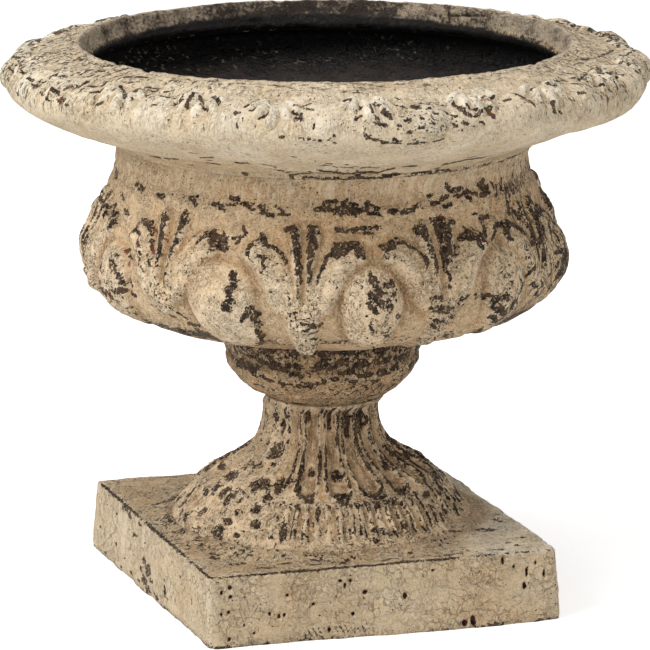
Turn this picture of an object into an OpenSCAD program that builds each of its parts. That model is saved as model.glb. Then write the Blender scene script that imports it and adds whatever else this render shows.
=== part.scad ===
// Low campana cachepot on a fluted foot and square plinth.
// It is cast in five sections: a rolled rim, a bowl with bosses, a collar,
// a fluted foot and a plinth. Each section is bedded in mortar on the next,
// with a spigot in a socket, and one tie rod runs down the middle. The inside
// is painted with a black waterproof coat.
// Millimetres, +Z up, origin at the centre of the plinth's underside, X and Y
// along the plinth's sides.

/* [Overall] */
// Diameter over the rolled rim
rim_d = 400; // [380:2:420]
// Height from the floor to the crest of the rim
total_h = 348; // [332:1:364]

/* [Plinth] */
// Side of the plinth at the floor
plinth_foot = 230; // [224:1:240]
// Side of the plinth at its top edge
plinth_top = 223; // [214:1:224]
// Thickness of the plinth
plinth_h = 44; // [40:0.5:48]

/* [Ornament] */
// Bosses around the bowl
bowl_bosses = 10; // [6:1:12]
// How far one bowl boss stands from the plinth's X axis, in degrees
bowl_turn = -5.6; // [-18:0.1:18]
// Width of a bowl boss
boss_w = 36; // [28:1:40]
// Height of a bowl boss
boss_h = 53; // [44:1:58]
// Eggs around the rim
rim_eggs = 20; // [12:1:24]
// Flutes around the foot
flutes = 20; // [12:1:24]
// Depth of a flute
flute_depth = 2.4; // [1:0.1:3.2]

/* [Tie rod] */
// Diameter of the tie rod
rod_d = 12; // [8:1:14]
// Width across the flats of its nuts
nut_af = 19; // [17:1:21]
// Height of each nut
nut_h = 9; // [7:0.5:10]

/* [Coat and joints] */
// Thickness of the waterproof coat
coat_t = 1.5; // [1:0.1:2.5]
// Thickness of each mortar bed
bed_t = 1.5; // [1:0.1:2]

/* [Hidden] */
$fn = 120;
kr = rim_d / 400;
kz = total_h / 348;
fit = 0.6;              // gap of a spigot in its socket
skin = 0.06;            // gap of a thin layer from the wall behind it
bore_r = rod_d / 2 + 1; // hole for the rod in each section
dz = plinth_h - 44;     // what a thicker plinth lifts

// heights of the joints between the sections
z_foot = plinth_h + bed_t;        // the foot's underside
z_foot_top = 123.5 * kz + dz;     // its top
z_collar = z_foot_top + bed_t;    // the collar's underside
z_collar_top = 168.5 * kz + dz;   // its top
z_bowl = z_collar_top + bed_t;    // the bowl's underside
z_neck = 286 * kz + dz;           // top of the bowl's neck
z_rim = z_neck + bed_t;           // the rim's underside
z_floor = 192 * kz + dz;          // the bowl's floor
recess_r = 18.5;                  // nut recesses, in the floor and in the plinth
recess_h = 17;
z_seat = z_floor - recess_h;      // what the top washer's seal rests on

// a point of the outline, moved with the overall sizes
function P(r, z) = [r * kr, z * kz + dz];

// Catmull-Rom curve through points, n steps to a span
function cr(a, b, c, d, t) = 0.5 * ((2 * b) + (c - a) * t + (2 * a - 5 * b + 4 * c - d) * t * t
                                    + (3 * b - a - 3 * c + d) * t * t * t);
function curve(p, n = 3) = [for (i = [0 : len(p) - 2]) for (k = [0 : n - 1])
    cr(p[max(i - 1, 0)], p[i], p[i + 1], p[min(i + 2, len(p) - 1)], k / n), p[len(p) - 1]];

// outside of the rolled rim, from the lip round to the neck
rim_out = curve([P(149.6, 345), P(151.8, 347.5), P(156, 348), P(164, 346.6), P(173, 343.8), P(182, 340), P(190, 335.4),
                 P(195.6, 330), P(197.6, 324.5), P(195.4, 318.4), P(188, 312.6), P(172, 305.4), P(153, 297.4), P(137, 290.8)], 2);
// inside of the rim, from the neck up under the lip
rim_in = curve([P(121.8, 293.6), P(140, 301.4), P(158, 309.4), P(169, 316), P(172.5, 321.6), P(169, 327),
                P(160, 330.6), P(151, 331.2), P(146.6, 332.6), P(145.8, 336.4), P(147.4, 341)], 2);
// outside of the bowl, from under the neck to its foot
bowl_out = curve([P(128, 277), P(128.6, 268.5), P(131.4, 262), P(134.6, 252), P(139, 242), P(143, 230), P(145.4, 219),
                  P(145, 209), P(141.6, 199.5), P(134, 190), P(122, 182.4), P(104, 176.6), P(82, 172.4)], 2);
// inside of the bowl, from the floor up to the neck: a straight taper that a core can be drawn from
bowl_in = concat(curve([P(102, 192), P(106, 193.1), P(108.3, 196.6), P(109, 203)], 2), [P(113.4, 279)]);
collar_out = curve([P(62, 166), P(61.8, 160), P(60.8, 153), P(58.2, 145.4), P(53.8, 138.4), P(47.6, 132), P(41.4, 127.4)], 2);
foot_out = curve([P(36, 118.5), P(35.5, 109.5), P(37.4, 100.5), P(43, 91.5), P(54, 83.4), P(65.4, 77), P(74, 70),
                  P(80.6, 63), P(86, 56), P(90, 50.8)], 2);

// ---- shared shapes ----
module turned(outline) { rotate_extrude() polygon(outline); }
module tube(r1, r0, z0, z1) {
    translate([0, 0, z0]) difference() {
        cylinder(r = r1, h = z1 - z0);
        translate([0, 0, -1]) cylinder(r = r0, h = z1 - z0 + 2);
    }
}
module bored(r, z0, z1) { translate([0, 0, z0]) cylinder(r = r, h = z1 - z0); }
module ring_of(n, turn) { for (i = [0 : n - 1]) rotate([0, 0, turn + i * 360 / n]) children(); }

// an upright egg with round ends
module egg(w, h) {
    cylinder(r = w / 2, h = h - w, center = true);
    for (s = [-1, 1]) translate([0, 0, s * (h - w) / 2]) sphere(r = w / 2, $fn = 40);
}

// ---- cast sections ----
module rim_ring() {
    color("tan") difference() {
        union() {
            turned(concat([[121.4 * kr, z_rim], [128.4 * kr, z_rim], P(130.6, 288.6)],
                          [for (i = [len(rim_out) - 1 : -1 : 0]) rim_out[i]],
                          [for (i = [len(rim_in) - 1 : -1 : 0]) rim_in[i]]));
            // eggs on the shoulder of the roll
            ring_of(rim_eggs, 0.4) translate([0, -184.4 * kr, 325 * kz + dz]) sphere(r = 15 * kr, $fn = 40);
        }
        // keep the eggs out of the hollow under the lip
        turned(concat([[0, 280 * kz], [121.4 * kr, 280 * kz]], rim_in, [P(149.6, 345), P(149.6, 360), [0, 360 * kz + dz]]));
    }
}

module bowl() {
    color("tan") difference() {
        union() {
            turned(concat([[0, z_bowl - 9], [40, z_bowl - 9], [40, z_bowl], [62 * kr, z_bowl]],
                          [for (i = [len(bowl_out) - 1 : -1 : 0]) bowl_out[i]],
                          [[128 * kr, z_neck], [120.8 * kr, z_neck], [120.8 * kr, z_neck + 5], [113.4 * kr, z_neck + 5],
                           [0, z_neck + 5]]));
            // bosses, and a narrower leaf between each two
            ring_of(bowl_bosses, bowl_turn) translate([0, -134.2 * kr, 212 * kz + dz]) egg(boss_w, boss_h);
            ring_of(bowl_bosses, bowl_turn + 180 / bowl_bosses) translate([0, -134.4 * kr, 223 * kz + dz]) rotate([-5, 0, 0]) egg(20, 66);
        }
        // hollow
        turned(concat([[0, z_floor]], bowl_in, [[113.4 * kr, z_neck + 9], [0, z_neck + 9]]));
        bored(recess_r, z_seat, z_floor + 1);
        bored(bore_r, z_bowl - 20, z_floor);
    }
}

module collar() {
    color("tan") difference() {
        union() {
            turned(concat([[0, z_collar], [38.6 * kr, z_collar]], [for (i = [len(collar_out) - 1 : -1 : 0]) collar_out[i]],
                          [[55 * kr, z_collar_top], [0, z_collar_top]]));
            bored(22, z_collar - 8, z_collar + 1);
        }
        bored(40 + fit, z_collar_top - 10, z_collar_top + 1);
        bored(bore_r, z_collar - 20, z_collar_top + 1);
    }
}

// a flute follows the hollow of the foot, which is close to an arc
module flute() {
    arc_r = 40;
    tube_r = 4.6;
    translate([0, -75 * kr, 115 * kz + dz]) rotate([0, -90, 0]) rotate([0, 0, 92])
        rotate_extrude(angle = 76, $fn = 72) translate([arc_r - (tube_r - flute_depth), 0]) circle(r = tube_r, $fn = 32);
}

module fluted_foot() {
    color("tan") difference() {
        union() {
            turned(concat([[0, z_foot], [91.6 * kr, z_foot], P(92, 47.8)], [for (i = [len(foot_out) - 1 : -1 : 0]) foot_out[i]],
                          [[36.4 * kr, z_foot_top], [0, z_foot_top]]));
            bored(30, z_foot - 8, z_foot + 1);
        }
        ring_of(flutes, bowl_turn) flute();
        bored(22 + fit, z_foot_top - 8, z_foot_top + 1);
        bored(bore_r, 0, z_foot_top + 1);
    }
}

module plinth() {
    slope = atan((plinth_foot - plinth_top) / 2 / plinth_h);
    color("tan") difference() {
        translate([-plinth_foot / 2, -plinth_foot / 2, 0]) cube([plinth_foot, plinth_foot, plinth_h]);
        // the four sides lean in a little towards the top
        for (a = [0 : 90 : 270]) rotate([0, 0, a]) translate([plinth_foot / 2, -plinth_foot, 0])
            rotate([0, -slope, 0]) cube([30, plinth_foot * 2, plinth_h * 2]);
        bored(30 + fit, plinth_h - 9, plinth_h + 1);
        bored(bore_r, -1, plinth_h + 1);
        bored(recess_r, -1, recess_h);
    }
}

// ---- mortar beds ----
module rim_mortar_bed() { color("gray") tube(127.6 * kr, 121.4 * kr, z_neck, z_rim); }
module bowl_mortar_bed() { color("gray") tube(54 * kr, 41.2, z_collar_top, z_bowl); }
module collar_mortar_bed() { color("gray") tube(35.8 * kr, 23.2, z_foot_top, z_collar); }
module foot_mortar_bed() { color("gray") tube(90.6 * kr, 31.2, plinth_h, z_foot); }

// ---- coat and seal of the inside ----
module waterproof_coat() {
    wall = concat(bowl_in, [[113.4 * kr, z_neck + 5.4]],
                  [for (i = [0 : 14]) rim_in[i]]);
    n = len(wall);
    // unit normals that point into the hollow
    nrm = [for (i = [0 : n - 1]) let (d = wall[min(i + 1, n - 1)] - wall[max(i - 1, 0)]) [-d[1], d[0]] / norm(d)];
    near = [for (i = [0 : n - 1]) wall[i] + nrm[i] * skin];
    far = [for (i = [0 : n - 1]) wall[i] + nrm[i] * (skin + coat_t)];
    color([0.08, 0.07, 0.06]) turned(concat([[recess_r + 0.2, z_floor + skin], [100 * kr, z_floor + skin]], [for (i = [1 : n - 1]) near[i]],
                  [for (i = [n - 1 : -1 : 1]) far[i]], [[100 * kr, z_floor + skin + coat_t], [recess_r + 0.2, z_floor + skin + coat_t]]));
}

washer_t = 2.5;
seal_t = 2;
z_nut = z_seat + seal_t + washer_t;
module floor_mastic_plug() {
    color([0.08, 0.07, 0.06]) difference() {
        bored(recess_r - skin, z_seat + skin, z_floor + skin + coat_t);
        bored(15.06, z_seat - 1, z_nut + skin);
        translate([0, 0, z_nut - 1]) cylinder(r = (nut_af / 2 + skin) / cos(30), h = nut_h + 1 + skin, $fn = 6);
        bored(rod_d / 2 + skin, z_seat - 1, z_nut + nut_h + 2 + skin);
    }
}

// ---- tie rod and its fasteners ----
module hex_nut(z) {
    translate([0, 0, z]) difference() {
        cylinder(r = nut_af / 2 / cos(30), h = nut_h, $fn = 6);
        translate([0, 0, -1]) cylinder(r = rod_d / 2 + 0.05, h = nut_h + 2);
    }
}
z_nut_low = recess_h - washer_t - nut_h;
module tie_rod() { color("silver") bored(rod_d / 2, z_nut_low - 2.5, z_nut + nut_h + 2); }
module top_nut() { color("silver") hex_nut(z_nut); }
module top_washer() { color("silver") tube(15, rod_d / 2 + 0.5, z_seat + seal_t, z_nut); }
module top_rubber_seal() { color("black") tube(15, rod_d / 2 + 0.05, z_seat, z_seat + seal_t); }
module bottom_nut() { color("silver") hex_nut(z_nut_low); }
module bottom_washer() { color("silver") tube(15, rod_d / 2 + 0.5, recess_h - washer_t, recess_h); }

rim_ring();
bowl();
collar();
fluted_foot();
plinth();
rim_mortar_bed();
bowl_mortar_bed();
collar_mortar_bed();
foot_mortar_bed();
waterproof_coat();
floor_mastic_plug();
tie_rod();
top_nut();
top_washer();
top_rubber_seal();
bottom_nut();
bottom_washer();
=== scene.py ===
"""Low campana cachepot with a leaf-and-egg rim, a carved bowl, a fluted foot and a square plinth.

Everything is in metres once it is in the scene; the shaping below works in millimetres.
Angles called "front angles" are in degrees from the side of the pot that faces the camera, and
grow to the camera's right.
"""

import math

import bpy
import numpy as np
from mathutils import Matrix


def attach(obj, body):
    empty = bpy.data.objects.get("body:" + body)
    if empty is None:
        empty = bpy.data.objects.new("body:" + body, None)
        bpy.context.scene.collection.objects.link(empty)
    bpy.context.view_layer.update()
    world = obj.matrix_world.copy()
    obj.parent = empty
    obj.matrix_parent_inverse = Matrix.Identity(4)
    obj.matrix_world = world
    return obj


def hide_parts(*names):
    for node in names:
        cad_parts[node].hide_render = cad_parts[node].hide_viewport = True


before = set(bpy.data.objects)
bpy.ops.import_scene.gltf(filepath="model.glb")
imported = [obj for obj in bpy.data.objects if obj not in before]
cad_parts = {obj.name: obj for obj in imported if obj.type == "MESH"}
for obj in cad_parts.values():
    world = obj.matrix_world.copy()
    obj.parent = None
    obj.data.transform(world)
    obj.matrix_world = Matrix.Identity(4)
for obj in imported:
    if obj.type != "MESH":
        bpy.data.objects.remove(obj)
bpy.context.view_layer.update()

MM = 0.001
TAU = 2 * math.pi
TURN = 0.3077  # how far the plinth is turned from the camera's view, in radians


# ------------------------------------------------------------------ noise
_rs = np.random.RandomState(11)
_perm = _rs.permutation(256).astype(np.int64)
_grad = _rs.normal(size=(256, 3))
_grad /= np.linalg.norm(_grad, axis=1)[:, None]
_grad = _grad.astype(np.float32)


def noise(x, y, z, scale, seed=0):
    """Smooth gradient noise, about -1 to 1, with features of the given size in mm."""
    x = np.asarray(x, np.float32) / scale + 17.31 * (seed + 1)
    y = np.asarray(y, np.float32) / scale + 5.77 * (seed + 3)
    z = np.asarray(z, np.float32) / scale + 9.13 * (seed + 2)
    x, y, z = np.broadcast_arrays(x, y, z)
    xi, yi, zi = np.floor(x).astype(np.int64), np.floor(y).astype(np.int64), np.floor(z).astype(np.int64)
    fx, fy, fz = (x - xi).astype(np.float32), (y - yi).astype(np.float32), (z - zi).astype(np.float32)
    ux, uy, uz = (t * t * t * (t * (t * 6 - 15) + 10) for t in (fx, fy, fz))
    out = 0
    for dx in (0, 1):
        wx = ux if dx else 1 - ux
        px = _perm[(xi + dx) & 255]
        for dy in (0, 1):
            wy = uy if dy else 1 - uy
            py = _perm[(px + yi + dy) & 255]
            for dz in (0, 1):
                wz = uz if dz else 1 - uz
                g = _grad[_perm[(py + zi + dz) & 255]]
                out = out + wx * wy * wz * (g[..., 0] * (fx - dx) + g[..., 1] * (fy - dy) + g[..., 2] * (fz - dz))
    return out * 1.6


def fractal(x, y, z, scale, octaves=3, seed=0, gain=0.5):
    total, amp, out = 0.0, 1.0, 0
    for k in range(octaves):
        out = out + amp * noise(x, y, z, scale / 2**k, seed + 7 * k)
        total += amp
        amp *= gain
    return out / total


def step(lo, hi, x):
    t = np.clip((x - lo) / (hi - lo), 0, 1)
    return t * t * (3 - 2 * t)


def blur(a, rows, cols, wrap_rows=False):
    """Three box blurs, round the ring and along the outline."""
    for axis, k, wrap in ((0, rows, wrap_rows), (1, cols, True)):
        k = int(k)
        if k < 1:
            continue
        pad = [(0, 0), (0, 0)]
        pad[axis] = (k, k)
        for _ in range(3):
            b = np.pad(a, pad, mode="wrap" if wrap else "edge")
            c = np.cumsum(b, axis=axis, dtype=np.float64)
            zero = np.zeros_like(np.take(c, [0], axis=axis))
            c = np.concatenate([zero, c], axis=axis)
            n = a.shape[axis]
            hi = np.take(c, np.arange(2 * k + 1, 2 * k + 1 + n), axis=axis)
            lo = np.take(c, np.arange(0, n), axis=axis)
            a = ((hi - lo) / (2 * k + 1)).astype(np.float32)
    return a


# ------------------------------------------------------------------ outlines
def smooth_line(points, spacing, steps=12):
    """A Catmull-Rom curve through (r, z) points, resampled to about the spacing in mm."""
    p = np.array(points, float)
    out = []
    for i in range(len(p) - 1):
        a, b, c, d = p[max(i - 1, 0)], p[i], p[i + 1], p[min(i + 2, len(p) - 1)]
        t = np.linspace(0, 1, steps, endpoint=False)[:, None]
        out.append(0.5 * (2 * b + (c - a) * t + (2 * a - 5 * b + 4 * c - d) * t**2 + (3 * b - a - 3 * c + d) * t**3))
    out.append(p[-1:])
    q = np.concatenate(out)
    s = np.r_[0, np.cumsum(np.linalg.norm(np.diff(q, axis=0), axis=1))]
    n = max(2, int(round(s[-1] / spacing)) + 1)
    t = np.linspace(0, s[-1], n)
    return np.c_[np.interp(t, s, q[:, 0]), np.interp(t, s, q[:, 1])]


def straight_line(points, spacing):
    """Straight runs between (r, z) points, each split to the spacing."""
    out = []
    for a, b in zip(points[:-1], points[1:]):
        a, b = np.array(a, float), np.array(b, float)
        n = max(1, int(math.ceil(np.linalg.norm(b - a) / spacing)))
        out.append(a + (b - a) * np.linspace(0, 1, n, endpoint=False)[:, None])
    out.append(np.array(points[-1:], float))
    return np.concatenate(out)


def front_angle(th):
    """World angle in radians to front angle in degrees, -180 to 180."""
    return (np.degrees(th) + 90 + math.degrees(TURN) + 180) % 360 - 180


# ------------------------------------------------------------------ meshes
def new_mesh(name, verts, quads, attrs, smooth=True):
    me = bpy.data.meshes.new(name)
    verts = np.asarray(verts, np.float32) * MM
    quads = np.asarray(quads, np.int32)
    me.vertices.add(len(verts))
    me.vertices.foreach_set("co", verts.ravel())
    n = len(quads)
    me.loops.add(n * 4)
    me.loops.foreach_set("vertex_index", quads.ravel())
    me.polygons.add(n)
    me.polygons.foreach_set("loop_start", np.arange(0, n * 4, 4, dtype=np.int32))
    me.update(calc_edges=True)
    me.validate()
    if smooth:
        me.polygons.foreach_set("use_smooth", np.ones(n, bool))
    for key, val in attrs.items():
        if val.ndim == 2:
            a = me.attributes.new(key, "FLOAT_VECTOR", "POINT")
            a.data.foreach_set("vector", val.astype(np.float32).ravel())
        else:
            a = me.attributes.new(key, "FLOAT", "POINT")
            a.data.foreach_set("value", val.astype(np.float32).ravel())
    ob = bpy.data.objects.new(name, me)
    bpy.context.scene.collection.objects.link(ob)
    return ob


def revolved(name, line, columns, relief, ref_r):
    """A closed outline turned about Z, pushed along its normals by relief().

    relief(r, z, s, th, x, y) takes (rows, 1) and (1, columns) arrays and gives the height in mm and
    a dict of arrays. Rows run along the outline, which closes on itself.
    """
    line = np.asarray(line, np.float32)
    m = len(line)
    nxt, prv = np.roll(line, -1, 0), np.roll(line, 1, 0)
    d = nxt - prv
    ln = np.linalg.norm(d, axis=1)
    ln[ln == 0] = 1
    nr, nz = (d[:, 1] / ln)[:, None], (-d[:, 0] / ln)[:, None]
    seg = np.linalg.norm(line - prv, axis=1)
    seg[0] = 0
    s = np.cumsum(seg)[:, None]
    r, z = line[:, 0][:, None], line[:, 1][:, None]
    th = (np.arange(columns, dtype=np.float32) / columns * TAU)[None, :]
    x, y = r * np.cos(th), r * np.sin(th)
    h, attrs = relief(r, z, s, th, x, y)
    rr, zz = r + nr * h, z + nz * h
    lean = attrs.pop("lean", 0.0)  # the casting sits a little off its axis, towards the camera's left
    verts = np.stack([rr * np.cos(th) - lean * math.cos(TURN), rr * np.sin(th) + lean * math.sin(TURN), zz + 0 * th], -1).reshape(-1, 3)
    i = np.arange(m)[:, None]
    j = np.arange(columns)[None, :]
    i2, j2 = (i + 1) % m, (j + 1) % columns
    quads = np.stack([i * columns + j, i * columns + j2, i2 * columns + j2, i2 * columns + j], -1).reshape(-1, 4)
    flat = {k: np.broadcast_to(v, (m, columns)).astype(np.float32).ravel() for k, v in attrs.items()}
    cyl = np.stack([np.cos(th) * ref_r + 0 * s, np.sin(th) * ref_r + 0 * s, s + 0 * th], -1).reshape(-1, 3) * MM
    flat["cyl"] = cyl
    return new_mesh(name, verts, quads, flat)


def chain(u, v, pts, rads):
    """Distance to a chain of round-ended strokes over the stroke's radius: 1 on its edge, 0 on its centre line."""
    best = None
    for k in range(len(pts) - 1):
        (ax, ay), (bx, by) = pts[k], pts[k + 1]
        dx, dy = bx - ax, by - ay
        t = np.clip(((u - ax) * dx + (v - ay) * dy) / (dx * dx + dy * dy), 0, 1)
        dist = np.hypot(u - ax - t * dx, v - ay - t * dy)
        q = dist / (rads[k] + t * (rads[k + 1] - rads[k]))
        best = q if best is None else np.minimum(best, q)
    return best


def dome(q, power=0.5):
    return np.clip(1 - q * q, 0, 1) ** power


# ------------------------------------------------------------------ carved bowl
# front angles of the eggs that the camera sees; the rest share the back evenly
EGGS = [-60.5, -24.7, 12.2, 49.4] + [49.4 + (360 - 109.9) / 7 * k for k in range(1, 7)]
PALMS = [-40.8, -4.4, 29.8] + [(EGGS[k] + EGGS[(k + 1) % 10] + (360 if k == 9 else 0)) / 2 for k in range(3, 10)]
PALMS[3] = 66.0
# half width of each egg in mm, how far its foot swings to the right, and how far the middle leaves of each palmette spread
EGG_W = [18.0, 22.6, 18.8, 17.2, 18.0, 19.0, 18.6, 18.0, 19.2, 18.4]
EGG_SWING = [3.0, 8.0, 0.0, -1.0, 0.0, 1.5, -1.0, 0.0, 1.0, -1.0]
EGG_DROP = [1.5, 1.0, 1.0, 0.0, -3.0, 0.0, 1.0, 0.0, -1.0, 7.0]
SPREAD = [1.04, 0.80, 1.14, 1.0, 0.95, 1.05, 1.0, 0.9, 1.0, 1.05]
# worn patches of the neck and between the leaves, as (front angle, z, half width, half length) in mm
WORN = [(-57.7, 267.1, 5.8, 5.2), (-47.7, 267.8, 4.6, 2.6), (-35.7, 268.4, 3.1, 4.5), (-32.4, 267.5, 2.2, 1.9), (-26.8, 266.5, 7.0, 2.6),
        (-23.7, 272.1, 2.0, 1.3), (-19.2, 268.9, 2.6, 2.6), (-14.3, 263.9, 5.2, 3.2), (-10.4, 265.9, 6.4, 1.6), (-7.7, 272.9, 1.3, 1.3),
        (-0.5, 266.4, 4.4, 3.2), (2.1, 270.8, 7.5, 3.9), (6.6, 269.0, 5.7, 3.2), (4.0, 273.0, 3.8, 3.2), (8.2, 268.3, 6.3, 3.9),
        (13.2, 267.4, 5.1, 3.9), (20.1, 268.7, 6.0, 3.2), (23.9, 269.2, 4.8, 3.2), (28.7, 272.9, 2.1, 2.6), (27.3, 270.9, 1.8, 1.6),
        (32.8, 268.0, 7.4, 4.5), (37.8, 273.6, 6.3, 1.9), (42.9, 271.0, 5.1, 3.2), (49.2, 273.1, 5.7, 4.5), (45.4, 265.6, 5.3, 3.2),
        (53.9, 274.5, 5.3, 3.9), (56.0, 267.8, 3.3, 2.6), (62.8, 271.1, 9.0, 3.2), (72.0, 269.2, 8.0, 3.9), (49.3, 256.6, 10.5, 2.6),
        (46.3, 250.7, 3.2, 5.8), (-48.7, 245.7, 2.8, 5.8), (-51.5, 241.2, 3.0, 5.2), (-48.7, 251.6, 2.8, 3.2), (-54.7, 245.8, 3.2, 3.9),
        (-48.0, 235.5, 2.3, 4.5), (-22.3, 255.3, 3.4, 2.7), (-20.6, 259.0, 1.5, 4.4), (-22.2, 245.2, 3.4, 2.3), (-25.4, 244.5, 2.1, 2.0),
        (-2.3, 202.4, 6.3, 2.0), (-2.0, 193.5, 5.6, 1.8), (-1.7, 182.6, 2.5, 2.7), (29.0, 214.0, 8.0, 2.6), (29.3, 206.3, 7.0, 1.7),
        (35.7, 209.3, 3.4, 4.4), (29.5, 197.4, 5.7, 1.7), (-18.2, 259.4, 1.8, 1.8), (-13.7, 254.3, 2.4, 1.8), (-15.6, 237.2, 1.9, 1.7),
        (-12.2, 239.9, 2.6, 2.4)]
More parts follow.
